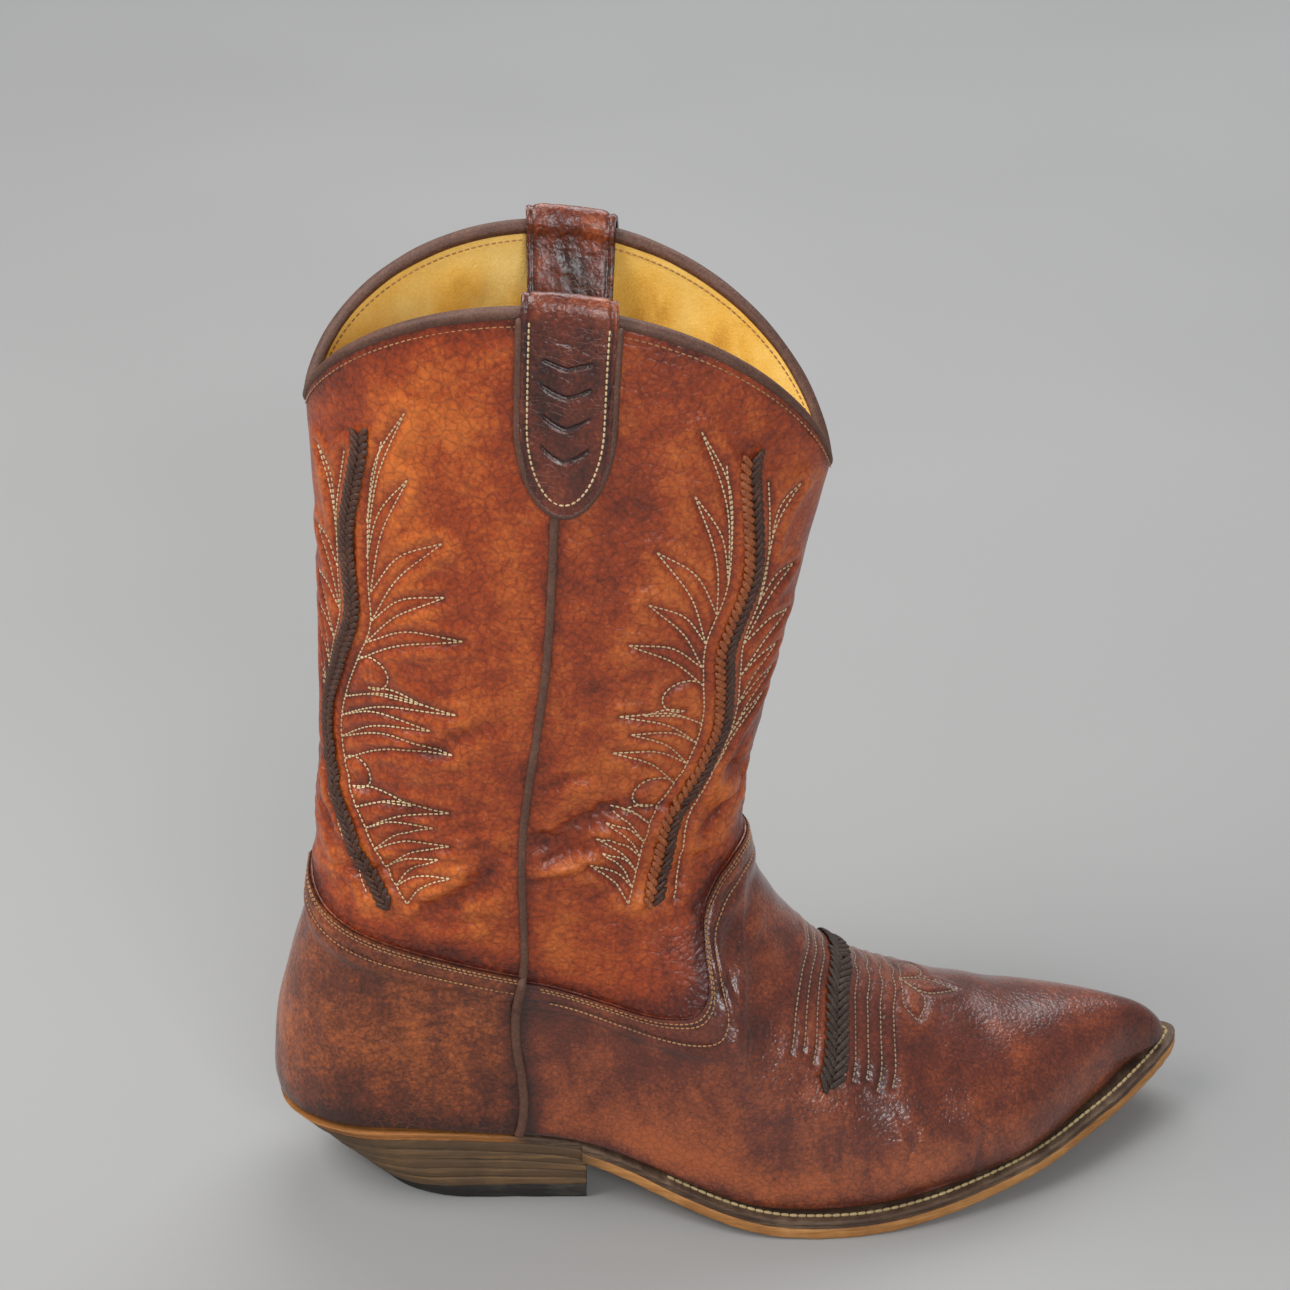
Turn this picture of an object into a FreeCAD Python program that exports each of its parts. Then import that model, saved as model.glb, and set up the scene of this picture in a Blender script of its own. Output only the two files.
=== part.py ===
import FreeCAD, Part
import math
import os

# Western boot for the right foot, in millimetres.
# +X points to the toe, +Y to the inner (medial) side, +Z up.
# The origin is the centre of the heel's ground face.
#
# The upper is one smooth skin, given as a point for every "height" and "angle":
#   height  0 at the feather line, where the upper meets the sole, to 1 at the topline
#   angle   0 at the back, 90 at the outer side seam, 180 at the front, 270 at the inner side seam
# Every leather piece is a patch of that skin with its own margins and its own depth below the skin.

Vector = FreeCAD.Vector
doc = FreeCAD.newDocument("western_boot")

# ---------------------------------------------------------------- driving dimensions

SIZES = {
    "shaft_leather": 1.8,
    "vamp_leather": 1.7,
    "lining_leather": 1.25,
    "layer_gap": 0.05,
    "lining_gap": 0.12,
    "lap_gap": 0.25,
    "top_lift_wear": 2.2,
    "seam_gap": 0.15,
    "stiffener_thickness": 1.6,
    "welt_thickness": 3.0,
    "welt_width": 10.0,
    "outsole_thickness": 4.25,
    "insole_thickness": 2.5,
    "sock_thickness": 1.0,
    "insole_inset": 12.5,
    "shank_thickness": 1.5,
    "shank_width": 14.0,
    "shank_length": 96.0,
    "shank_rear": -22.0,
    "heel_breast": 34.0,
    "heel_rear_ground": -39.0,
    "heel_rear_seat": -70.5,
    "heel_half_ground": 28.0,
    "heel_half_seat": 31.5,
    "heel_blank_height": 30.0,
    "top_lift_thickness": 6.0,
    "nail_radius": 0.9,
    "nail_length": 10.0,
    "nail_sink": 1.0,
    "piping_width": 3.2,
    "piping_height": 1.6,
    "binding_height": 2.6,
    "binding_lip": 0.6,
    "strap_width": 28.0,
    "strap_leather": 2.2,
    "strap_loop_rise": 4.6,
    "strap_bow": 8.0,
    "braid_height": 1.5,
    "braid_width": 6.5,
    "stitch_length": 2.3,
    "stitch_width": 0.8,
    "stitch_height": 0.45,
    "stitch_pitch": 4.2,
    "blank_height": 90.0,
    "blank_width": 160.0,
}

sheet = doc.addObject("Spreadsheet::Sheet", "sizes")
for row, (alias, value) in enumerate(SIZES.items(), start=1):
    sheet.set(f"A{row}", alias)
    sheet.set(f"B{row}", str(value))
    sheet.setAlias(f"B{row}", alias)
doc.recompute()


def size(alias):
    """A driving dimension, read from the sheet."""
    return float(getattr(sheet, alias))


# ---------------------------------------------------------------- smooth curves through stations

def curve(stations, values, x):
    """A smooth curve through a few stations: cubic Hermite with slopes weighted by the spans."""
    x = min(max(x, stations[0]), stations[-1])
    last = len(stations) - 1
    steps = [stations[k + 1] - stations[k] for k in range(last)]
    slopes = [(values[k + 1] - values[k]) / steps[k] for k in range(last)]
    i = 0
    while i < last - 1 and x > stations[i + 1]:
        i += 1

    def tangent(k):
        if k == 0:
            return slopes[0]
        if k == last:
            return slopes[-1]
        return (slopes[k - 1] * steps[k] + slopes[k] * steps[k - 1]) / (steps[k - 1] + steps[k])

    t = (x - stations[i]) / steps[i]
    start = (2 * t**3 - 3 * t**2 + 1) * values[i] + (t**3 - 2 * t**2 + t) * steps[i] * tangent(i)
    end = (3 * t**2 - 2 * t**3) * values[i + 1] + (t**3 - t**2) * steps[i] * tangent(i + 1)
    return start + end


def ease(low, high, x):
    """0 below low, 1 above high, smooth between."""
    t = min(max((x - low) / (high - low), 0.0), 1.0)
    return t * t * (3 - 2 * t)


# ---------------------------------------------------------------- the skin of the upper

# Rings from the feather line to the topline: height, front x and z, back x and z,
# how much the ring follows the sole's curve, and the shaft's half width there.
RINGS = [
    (0.00, 240.0, 25.0, -72.0, 31.6, 1.00, 34.0),
    (0.05, 238.0, 33.0, -73.0, 38.0, 0.97, 35.0),
    (0.10, 229.0, 41.0, -73.0, 46.0, 0.88, 36.0),
    (0.16, 207.0, 48.0, -72.0, 56.0, 0.72, 37.0),
    (0.22, 176.0, 55.0, -70.0, 67.0, 0.52, 38.0),
    (0.28, 146.0, 65.5, -66.5, 80.0, 0.33, 38.0),
    (0.34, 121.0, 80.0, -62.0, 95.0, 0.18, 37.5),
    (0.41, 103.0, 98.0, -57.5, 112.0, 0.08, 37.0),
    (0.49, 91.0, 119.0, -54.8, 131.0, 0.02, 37.0),
    (0.58, 87.0, 144.0, -53.0, 155.0, 0.00, 38.0),
    (0.70, 93.5, 183.0, -50.5, 193.0, 0.00, 40.0),
    (0.82, 101.0, 221.0, -49.0, 231.0, 0.00, 40.0),
    (0.92, 107.5, 250.0, -49.2, 264.0, 0.00, 38.0),
    (1.00, 112.0, 271.0, -50.0, 290.0, 0.00, 36.0),
]
RING_HEIGHTS = [ring[0] for ring in RINGS]
RING_COLUMNS = [[ring[k] for ring in RINGS] for k in range(1, 7)]
TOPLINE_RISE = 53.0

# The feather line's height along the boot: seat, waist, ball and toe spring.
SOLE_X = [-75, -40, 0, 20, 35, 50, 62, 75, 95, 115, 135, 160, 185, 210, 240, 250]
SOLE_Z = [31.6, 31.1, 29.6, 27.8, 25.0, 20.8, 16.8, 13.0, 8.6, 7.4, 7.6, 9.9, 13.5, 18.1, 25.0, 27.5]

# The instep ridge swings inward towards the toe, and the foot widens each side of it.
RIDGE_X = [-75, 60, 86, 120, 150, 180, 205, 228, 240]
RIDGE_Y = [0, 0, 0, 2.5, 7, 14, 20, 25, 27]
OUTER_X = [-75, -35, 0, 35, 60, 86, 115, 144, 158, 173, 184, 194, 205, 217, 226, 240]
OUTER_W = [31, 31, 32.5, 33, 39, 46.5, 49, 48.2, 46.4, 43.6, 40.7, 35.6, 27.8, 18.5, 11, 8]
INNER_X = [-75, -35, 0, 35, 60, 85, 110, 130, 150, 170, 190, 210, 226, 240]
INNER_W = [31, 31, 31.5, 29.5, 29.5, 33.5, 39.5, 42, 41, 37, 31, 22, 12.5, 9]
HEEL_CAP_X = -36.0
HEEL_CAP_LENGTH = 36.0
TOE_CAP_X = 226.0
TOE_CAP_LENGTH = 14.0
FOOT_ROUNDNESS = 2.1


def sole_z(x):
    return curve(SOLE_X, SOLE_Z, x)


def ridge_height(x):
    """The height of the skin's ring that crosses the instep ridge at x."""
    if x < 87.0:
        return 0.58 + (87.0 - x) * 0.012
    low, high = 0.0, 0.58
    for _ in range(30):
        middle = (low + high) / 2
        if curve(RING_HEIGHTS, RING_COLUMNS[0], middle) > x:
            low = middle
        else:
            high = middle
    return (low + high) / 2


def foot_half_width(x, back_x, side):
    """Half width of the foot at the feather line, with rounded heel and toe."""
    shifted = x - (back_x + 72.0) * (1 - ease(-75.0, -5.0, x))
    if side < 0:
        width = curve(OUTER_X, OUTER_W, shifted)
    else:
        width = curve(INNER_X, INNER_W, shifted)
    heel = min(max((HEEL_CAP_X - shifted) / HEEL_CAP_LENGTH, 0.0), 1.0)
    toe = min(max((shifted - TOE_CAP_X) / TOE_CAP_LENGTH, 0.0), 1.0)
    return width * math.sqrt(1 - heel * heel) * math.sqrt(1 - toe * toe)


def skin(height, angle):
    """The outer skin of the upper at a height and an angle in degrees."""
    front_x, front_z, back_x, back_z, follow, half_width = [
        curve(RING_HEIGHTS, column, height) for column in RING_COLUMNS
    ]
    turn = math.radians(angle)
    share = (1 - math.cos(turn)) / 2
    side = -1.0 if angle % 360.0 < 180.0 else 1.0
    x = back_x + (front_x - back_x) * share
    z = back_z + (front_z - back_z) * share
    z += follow * (sole_z(x) - sole_z(back_x) * (1 - share) - sole_z(front_x) * share)
    across = abs(math.sin(turn))
    z += ease(0.78, 1.0, height) * TOPLINE_RISE * across**1.2 * (1 - 0.06 * math.cos(turn))
    rise = min(height / ridge_height(x), 1.0)
    foot = foot_half_width(x, back_x, side) * (1 - rise**FOOT_ROUNDNESS) ** (1 / FOOT_ROUNDNESS)
    foot *= 1 + 0.09 * math.sin(math.pi * rise) * ease(20, 60, x) * (1 - ease(190, 230, x))
    shaft = ease(0.26, 0.56, height)
    y = side * ((1 - shaft) * foot + shaft * half_width * across)
    twist = (2 * (1 - share) - 7 * share) * ease(0.5, 1.0, height)
    return Vector(x, y + (1 - shaft) * curve(RIDGE_X, RIDGE_Y, x) + shaft * twist, z)


def outward(height, angle):
    """The unit normal of the skin, pointing away from the foot."""
    low, high = max(height - 0.004, 0.0), min(height + 0.004, 1.0)
    along = skin(high, angle) - skin(low, angle)
    around = skin(height, angle + 0.8) - skin(height, angle - 0.8)
    normal = around.cross(along)
    normal.normalize()
    return normal


def layer(height, angle, depth):
    """A point on the skin moved outward by depth (inward when negative)."""
    return skin(height, angle) + outward(height, angle) * depth


# ---------------------------------------------------------------- solids from two grids

def surface_through(grid):
    surface = Part.BSplineSurface()
    surface.interpolate(grid)
    return surface.toShape()


def edge_between(face, start, end):
    """The boundary edge of face whose ends are start and end."""
    def miss(edge):
        a, b = edge.Vertexes[0].Point, edge.Vertexes[-1].Point
        return min(
            a.distanceToPoint(start) + b.distanceToPoint(end),
            a.distanceToPoint(end) + b.distanceToPoint(start),
        )
    return min(face.Edges, key=miss)


def solid_between(outer_grid, inner_grid):
    """A closed solid: an outer and an inner surface joined by ruled walls at their four sides."""
    outer = surface_through(outer_grid)
    inner = surface_through(inner_grid)
    faces = [outer, inner]
    corners = [(0, 0), (0, -1), (-1, -1), (-1, 0)]
    for k in range(4):
        first, second = corners[k], corners[(k + 1) % 4]
        outer_edge = edge_between(outer, outer_grid[first[0]][first[1]], outer_grid[second[0]][second[1]])
        inner_edge = edge_between(inner, inner_grid[first[0]][first[1]], inner_grid[second[0]][second[1]])
        wall = Part.makeLoft([Part.Wire(outer_edge), Part.Wire(inner_edge)], False, True)
        faces += wall.Faces
    shell = Part.makeShell(faces)
    shell.sewShape()
    solid = Part.makeSolid(shell)
    if solid.Volume < 0:
        solid.reverse()
    return solid


def grid_of(point, columns, rows):
    """Points for every share along (0 to 1) and share up (0 to 1)."""
    return [
        [point(i / (columns - 1), j / (rows - 1)) for j in range(rows)]
        for i in range(columns)
    ]


def leather(name, angle_at, height_at, outer_depth, inner_depth, columns=25, rows=15):
    """A leather piece: a patch of the skin between two depths.
    angle_at and height_at map the shares along and up the piece to the skin."""
    def point(depth):
        def at(along, up):
            height, angle = height_at(along, up), angle_at(along, up)
            return layer(height, angle, depth(height, angle))
        return at
    shape = solid_between(
        grid_of(point(outer_depth), columns, rows),
        grid_of(point(inner_depth), columns, rows),
    )
    return feature(name, shape)


def feature(name, shape):
    """A sub-part whose shape is worked out here from the sheet's sizes."""
    piece = doc.addObject("Part::Feature", name)
    piece.Label = name
    piece.Shape = shape
    piece.Placement = FreeCAD.Placement(Vector(0, 0, 0), FreeCAD.Rotation())
    SUBPARTS.append(piece)
    return piece


SUBPARTS = []

# ---------------------------------------------------------------- lines that divide the upper

# The side seam leans forward down the foot: height on the skin against angle.
SEAM_HEIGHTS = [0.0, 0.16, 0.30, 0.37, 0.45, 0.70, 1.0]
SEAM_ANGLES = [62.0, 67.0, 76.0, 82.0, 86.0, 88.5, 89.5]

# The vamp's top edge dips at the sides of the instep and rises to a tongue in front.
VAMP_EDGE_ANGLES = [70.0, 84.0, 97.0, 109.0, 120.0, 127.0, 132.0, 137.0, 145.0, 157.0, 180.0]
VAMP_EDGE_HEIGHTS = [0.365, 0.357, 0.338, 0.333, 0.352, 0.385, 0.428, 0.472, 0.508, 0.532, 0.545]

# The counter's top edge rises to the back.
COUNTER_EDGE_ANGLES = [0.0, 20.0, 45.0, 65.0, 92.0]
COUNTER_EDGE_HEIGHTS = [0.455, 0.425, 0.402, 0.385, 0.357]

OVERLAP = 0.030
STEP_UP = 0.042
LOW_EDGE = 0.012


def fold(angle):
    """The angle measured from the back on either side: 0 to 180."""
    angle = angle % 360.0
    return min(angle, 360.0 - angle)


def seam_angle(height):
    return curve(SEAM_HEIGHTS, SEAM_ANGLES, height)


def vamp_edge(angle):
    return curve(VAMP_EDGE_ANGLES, VAMP_EDGE_HEIGHTS, fold(angle))


def counter_edge(angle):
    return curve(COUNTER_EDGE_ANGLES, COUNTER_EDGE_HEIGHTS, fold(angle))


def front_angle(height, along):
    """From the outer side seam (0) round the front to the inner one (1)."""
    start = seam_angle(height) + seam_margin(height)
    return start + (360.0 - 2 * start) * along


def back_angle(height, along):
    """From the inner side seam (0) round the back to the outer one (1)."""
    reach = seam_angle(height) - seam_margin(height)
    return -reach + 2 * reach * along


def seam_margin(height):
    """Half the seam's gap, as an angle: the skin's rings are about 1.1 mm to the degree."""
    return size("seam_gap") / 2 / 1.1


# ---------------------------------------------------------------- the upper's leather

def lifted(edge):
    """The depth of a lower panel's face: flush in the foot, and lifted over the shaft's margin."""
    def depth(height, angle):
        edge_height = edge(angle)
        start = edge_height - OVERLAP - STEP_UP
        lift = size("vamp_leather") + size("lap_gap")
        return lift * ease(start, edge_height - OVERLAP - 0.010, height)
    return depth


def below(depth, thickness):
    return lambda height, angle: depth(height, angle) - thickness


def flat(depth):
    return lambda height, angle: depth


def lower_panel(name, angle_of, edge, columns, rows):
    """The vamp or the counter, from the feather line to its top edge."""
    def height_at(along, up):
        guess = 0.4
        for _ in range(4):
            guess = edge(angle_of(guess, along))
        return LOW_EDGE + (guess - LOW_EDGE) * up

    def angle_at(along, up):
        return angle_of(height_at(along, up), along)

    outer = lifted(edge)
    return leather(name, angle_at, height_at, outer, below(outer, size("vamp_leather")), columns, rows)


lower_panel("vamp", front_angle, vamp_edge, 61, 43)
lower_panel("counter", back_angle, counter_edge, 33, 35)


def shaft_panel(name, angle_of, edge, outer, inner, columns=37, rows=23):
    """A shaft panel or its lining: its lower margin runs under the vamp or the counter."""
    def height_at(along, up):
        guess = 0.4
        for _ in range(4):
            guess = edge(angle_of(guess, along)) - OVERLAP
        return guess + (1.0 - guess) * up

    def angle_at(along, up):
        return angle_of(height_at(along, up), along)

    return leather(name, angle_at, height_at, flat(outer), flat(inner), columns, rows)


shaft_inside = -size("shaft_leather")
lining_face = shaft_inside - size("layer_gap")
lining_back = lining_face - size("lining_leather")
shaft_panel("shaft_front", front_angle, vamp_edge, 0.0, shaft_inside)
shaft_panel("shaft_back", back_angle, counter_edge, 0.0, shaft_inside)
shaft_panel("shaft_lining_front", front_angle, vamp_edge, lining_face, lining_back)
shaft_panel("shaft_lining_back", back_angle, counter_edge, lining_face, lining_back)

# The foot's linings lie deeper where the toe puff and the heel stiffener are between the leathers.
FOOT_FACE = -size("vamp_leather") - size("lining_gap")
STIFFENER_BACK = FOOT_FACE - size("stiffener_thickness")
DEEP = size("stiffener_thickness") + size("lining_gap")
LINING_LOW = 0.014


def vamp_lining_face(height, angle):
    """The vamp lining goes under the toe puff towards the toe."""
    return FOOT_FACE - DEEP * ease(166.0, 184.0, skin(height, angle).x)


def heel_lining_face(height, angle):
    """The heel lining goes under the stiffener below the ankle."""
    return FOOT_FACE - DEEP * (1 - ease(0.30, 0.34, height))


def foot_lining(name, angle_of, edge, face, columns, rows):
    def height_at(along, up):
        guess = 0.35
        for _ in range(4):
            guess = edge(angle_of(guess, along)) - OVERLAP - 0.010
        return LINING_LOW + (guess - LINING_LOW) * up

    def angle_at(along, up):
        return angle_of(height_at(along, up), along)

    leather(name, angle_at, height_at, face, below(face, size("lining_leather")), columns, rows)


foot_lining("vamp_lining", front_angle, vamp_edge, vamp_lining_face, 61, 25)
foot_lining("heel_lining", back_angle, counter_edge, heel_lining_face, 33, 19)

leather(
    "heel_stiffener",
    lambda along, up: (-1 + 2 * along) * (52.0 - 8.0 * up),
    lambda along, up: 0.016 + 0.27 * up,
    flat(FOOT_FACE),
    flat(STIFFENER_BACK),
    25,
    13,
)

TOE_PUFF_BACK_X = 192.0
TOE_PUFF_TOP = 0.165


def toe_puff_angle(along, up):
    """From the puff's rear line on the outer side round the toe to the inner side."""
    height = toe_puff_height(along, up)
    front_x = curve(RING_HEIGHTS, RING_COLUMNS[0], height)
    back_x = curve(RING_HEIGHTS, RING_COLUMNS[2], height)
    share = (TOE_PUFF_BACK_X - back_x) / (front_x - back_x)
    start = math.degrees(math.acos(1 - 2 * share))
    return start + (360.0 - 2 * start) * along


def toe_puff_height(along, up):
    return 0.016 + (TOE_PUFF_TOP - 0.016) * up


leather("toe_puff", toe_puff_angle, toe_puff_height, flat(FOOT_FACE), flat(STIFFENER_BACK), 25, 11)

# ---------------------------------------------------------------- trims of the upper

SIDES = {"lateral": 1, "medial": -1}


def mirrored(angle, sign):
    """An angle on the outer side, or the same one on the inner side."""
    return angle if sign > 0 else 360.0 - angle


def strip(name, centre_angle, width, height_range, bottom, height, sign, columns=5, rows=25):
    """A narrow strip laid on the skin along a line that climbs the boot."""
    low, high = height_range

    def height_at(along, up):
        return low + (high - low) * up

    def angle_at(along, up):
        level = height_at(along, up)
        centre = centre_angle(level)
        per_degree = (skin(level, centre + 1) - skin(level, centre)).Length
        return mirrored(centre + (along - 0.5) * width / per_degree, sign)

    def base(level, angle):
        return bottom(level)

    def top(level, angle):
        return bottom(level) + height

    leather(name, angle_at, height_at, top, base, columns, rows)


def over_shaft(level):
    return size("layer_gap")


def over_foot(level):
    """Above the vamp and counter, which are lifted over the shaft's margin near their top edges."""
    lift = size("vamp_leather") + size("lap_gap")
    edge_height = vamp_edge(seam_angle(level))
    start = edge_height - OVERLAP - STEP_UP - 0.010
    end = edge_height - OVERLAP - 0.012
    return size("layer_gap") + lift * ease(start, end, level)


# The braids' lines on the outer side, against height on the skin.
BACK_BRAID_HEIGHTS = [0.46, 0.54, 0.62, 0.68, 0.75, 0.81, 0.87, 0.92]
BACK_BRAID_ANGLES = [50.0, 38.0, 25.0, 20.0, 27.0, 34.0, 32.5, 39.0]
FRONT_BRAID_HEIGHTS = [0.495, 0.55, 0.61, 0.66, 0.71, 0.76, 0.80, 0.86, 0.925]
FRONT_BRAID_ANGLES = [122.0, 127.0, 130.0, 136.0, 141.0, 139.0, 136.5, 141.0, 136.0]

for side, sign in SIDES.items():
    strip(
        f"side_seam_piping_{side}", seam_angle, size("piping_width"), (0.372, 0.883),
        over_shaft, size("piping_height"), sign, 5, 27,
    )
    strip(
        f"foot_seam_piping_{side}", seam_angle, size("piping_width"), (0.016, 0.352),
        over_foot, size("piping_height"), sign, 5, 21,
    )
    strip(
        f"back_braid_{side}",
        lambda level: curve(BACK_BRAID_HEIGHTS, BACK_BRAID_ANGLES, level),
        size("braid_width"), (0.462, 0.918), over_shaft, size("braid_height"), sign, 5, 29,
    )
    strip(
        f"front_braid_{side}",
        lambda level: curve(FRONT_BRAID_HEIGHTS, FRONT_BRAID_ANGLES, level),
        size("braid_width"), (0.497, 0.922), over_shaft, size("braid_height"), sign, 5, 29,
    )

# The vamp's braid crosses the instep from side to side.
VAMP_BRAID_ANGLES = [124.0, 132.0, 144.0, 159.0, 180.0]
VAMP_BRAID_HEIGHTS = [0.232, 0.262, 0.298, 0.328, 0.342]
VAMP_BRAID_HALF = 0.0095


def vamp_braid_height(along, up):
    centre = curve(VAMP_BRAID_ANGLES, VAMP_BRAID_HEIGHTS, fold(vamp_braid_angle(along, up)))
    return centre + (up - 0.5) * 2 * VAMP_BRAID_HALF


def vamp_braid_angle(along, up):
    return 124.0 + (360.0 - 248.0) * along


leather(
    "vamp_braid", vamp_braid_angle, vamp_braid_height,
    flat(size("braid_height") + 0.1), flat(0.1), 33, 5,
)

# ---------------------------------------------------------------- topline binding and pull straps

def topline_binding(name, angle_of):
    """A leather binding that caps the edges of the shaft and its lining."""
    outside = size("binding_lip")
    inside = lining_back - size("binding_lip")

    def rim(depth):
        def at(along, up):
            angle = angle_of(1.0, along)
            lift = size("layer_gap") + size("binding_height") * up
            return layer(1.0, angle, depth) + Vector(0, 0, lift)
        return at

    feature(name, solid_between(grid_of(rim(outside), 37, 4), grid_of(rim(inside), 37, 4)))


topline_binding("topline_binding_front", front_angle)
topline_binding("topline_binding_back", back_angle)

STRAP_ANGLE = 91.0
STRAP_LOW = 0.886
STRAP_INNER_LENGTH = 58.0
STRAP_OUTER_CLEAR = 0.8
STRAP_END_ROUNDING = 0.045


def strap_path(across, share, face, sign):
    """A point of a pull strap: up the outside of the shaft, over the topline, and down the inside.
    across runs over its width, share along its length, and face is 0 inside, 1 outside the bend."""
    spread = (across - 0.5) * size("strap_width")
    per_degree = (skin(0.95, STRAP_ANGLE + 1) - skin(0.95, STRAP_ANGLE)).Length
    angle = mirrored(STRAP_ANGLE + spread / per_degree, sign)
    thickness = size("strap_leather")
    near = STRAP_OUTER_CLEAR + thickness * face
    far = lining_back - STRAP_OUTER_CLEAR - thickness * face
    middle = (near + far) / 2
    radius = (near - far) / 2
    crest = size("binding_height") + size("strap_loop_rise") - thickness + thickness * face
    if share < 0.45:
        low = STRAP_LOW + STRAP_END_ROUNDING * (1 - math.sqrt(1 - (1.94 * (across - 0.5)) ** 2))
        return layer(low + (1.0 - low) * share / 0.45, angle, near)
    if share < 0.55:
        turn = math.pi * (share - 0.45) / 0.10
        level = layer(1.0, angle, middle + radius * math.cos(turn))
        return level + Vector(0, 0, crest * math.sin(turn))
    down = (share - 0.55) / 0.45
    bow = size("strap_bow") * math.sin(math.pi * down) ** 1.5
    start = layer(1.0, angle, far - bow)
    return start - Vector(0, 0, STRAP_INNER_LENGTH * down)


def pull_strap(name, sign):
    shares = [0.0, 0.05, 0.1, 0.16, 0.22, 0.28, 0.34, 0.39, 0.43, 0.45, 0.465, 0.48, 0.5]
    shares += [1 - share for share in reversed(shares[:-1])]

    def grid(face):
        return [[strap_path(i / 10, share, face, sign) for share in shares] for i in range(11)]

    feature(name, solid_between(grid(1.0), grid(0.0)))


for side, sign in SIDES.items():
    pull_strap(f"pull_strap_{side}", sign)

# ---------------------------------------------------------------- the bottom: outlines and layers

# Half of the sole's edge on each side, from the back of the seat to the tip of the toe.
SEAT_OUTLINE = [
    (-71.0, 0.0), (-69.5, -10.0), (-64.5, -20.0), (-54.0, -28.0), (-38.0, -31.8), (-15.0, -32.3),
]
OUTER_EDGE = [
    (12.0, -32.0), (33.0, -33.0), (50.0, -37.6), (66.0, -43.6), (84.0, -49.2), (105.0, -52.0),
    (130.0, -50.4), (152.0, -44.6), (170.0, -36.9), (186.0, -28.6), (198.0, -20.2), (210.0, -9.8),
    (221.5, 0.4), (233.0, 12.6), (241.0, 22.8),
]
TOE_TIP = [(245.0, 30.6)]
INNER_EDGE = [
    (242.0, 36.6), (231.0, 41.5), (214.0, 47.4), (194.0, 51.6), (170.0, 53.2), (148.0, 52.0),
    (126.0, 48.4), (104.0, 41.4), (82.0, 34.6), (60.0, 30.4), (36.0, 30.2), (12.0, 31.6),
]
SOLE_OUTLINE = (
    SEAT_OUTLINE + OUTER_EDGE + TOE_TIP + INNER_EDGE + [(x, -y) for x, y in reversed(SEAT_OUTLINE[1:])]
)


def inset(points, distance):
    """The outline moved inward by distance. Points that then crowd together are dropped."""
    moved = []
    count = len(points)
    for k, (x, y) in enumerate(points):
        before, after = points[k - 1], points[(k + 1) % count]
        dx, dy = after[0] - before[0], after[1] - before[1]
        length = math.hypot(dx, dy)
        place = (x - dy / length * distance, y + dx / length * distance)
        if not moved or math.dist(place, moved[-1]) > distance / 2:
            moved.append(place)
    return moved


def outline_sketch(name, points):
    """A closed smooth outline in the ground plane."""
    sketch = doc.addObject("Sketcher::SketchObject", name)
    spline = Part.BSplineCurve()
    spline.interpolate([Vector(x, y, 0) for x, y in points], PeriodicFlag=True)
    sketch.addGeometry(spline, False)
    return sketch


def prism(name, sketch, alias, z=0.0):
    """A sketch drawn up into a tall blank."""
    blank = doc.addObject("Part::Extrusion", name)
    blank.Base = sketch
    blank.DirMode = "Custom"
    blank.Dir = Vector(0, 0, 1)
    blank.Solid = True
    blank.setExpression("LengthFwd", f"sizes.{alias}")
    blank.Placement.Base.z = z
    return blank


outline = outline_sketch("sole_outline", SOLE_OUTLINE)
inner_outline = outline_sketch("filler_outline", inset(SOLE_OUTLINE, SIZES["welt_width"]))
insole_outline = outline_sketch("insole_outline", inset(SOLE_OUTLINE, SIZES["insole_inset"]))
outer_blank = prism("sole_blank", outline, "blank_height", -10.0)
inner_blank = prism("filler_blank", inner_outline, "blank_height", -10.0)
insole_blank = prism("insole_blank", insole_outline, "blank_height", -10.0)

# The sole's profile as one curve in the XZ plane, drawn out across the boot as a sheet.
profile = doc.addObject("Part::Feature", "sole_profile")
profile_spline = Part.BSplineCurve()
profile_spline.interpolate([Vector(x, 0, sole_z(x)) for x in [-80] + SOLE_X[1:-1] + [252]])
profile.Shape = profile_spline.toShape()
sole_sheet = doc.addObject("Part::Extrusion", "sole_sheet")
sole_sheet.Base = profile
sole_sheet.DirMode = "Custom"
sole_sheet.Dir = Vector(0, 1, 0)
sole_sheet.Symmetric = True
sole_sheet.Solid = False
sole_sheet.setExpression("LengthFwd", "sizes.blank_width")


def slab(name, thickness, top):
    """A layer that follows the sole's profile: top is how far its upper face is above the feather line.
    Both are expressions of the sheet's sizes."""
    piece = doc.addObject("Part::Extrusion", name)
    piece.Base = sole_sheet
    piece.DirMode = "Custom"
    piece.Dir = Vector(0, 0, -1)
    piece.Solid = True
    piece.setExpression("LengthFwd", thickness)
    piece.setExpression(".Placement.Base.z", top)
    return piece


def subpart(kind, name, base, tool):
    """A boolean of two objects that is a sub-part of its own."""
    piece = combine(kind, name, base, tool)
    SUBPARTS.append(piece)
    return piece


def combine(kind, name, base, tool):
    piece = doc.addObject(f"Part::{kind}", name)
    piece.Label = name
    piece.Base = base
    piece.Tool = tool
    return piece


def block(name, x_from, x_to):
    """A tall block that keeps a stretch of the boot's length."""
    box = doc.addObject("Part::Box", name)
    box.Length = x_to - x_from
    box.setExpression("Width", "sizes.blank_width")
    box.setExpression("Height", "sizes.blank_height")
    box.Placement.Base = Vector(x_from, -SIZES["blank_width"] / 2, -10.0)
    return box


outsole_slab = slab("outsole_slab", "sizes.outsole_thickness", "-sizes.welt_thickness - sizes.layer_gap")
subpart("Common", "outsole", outer_blank, outsole_slab)

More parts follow.
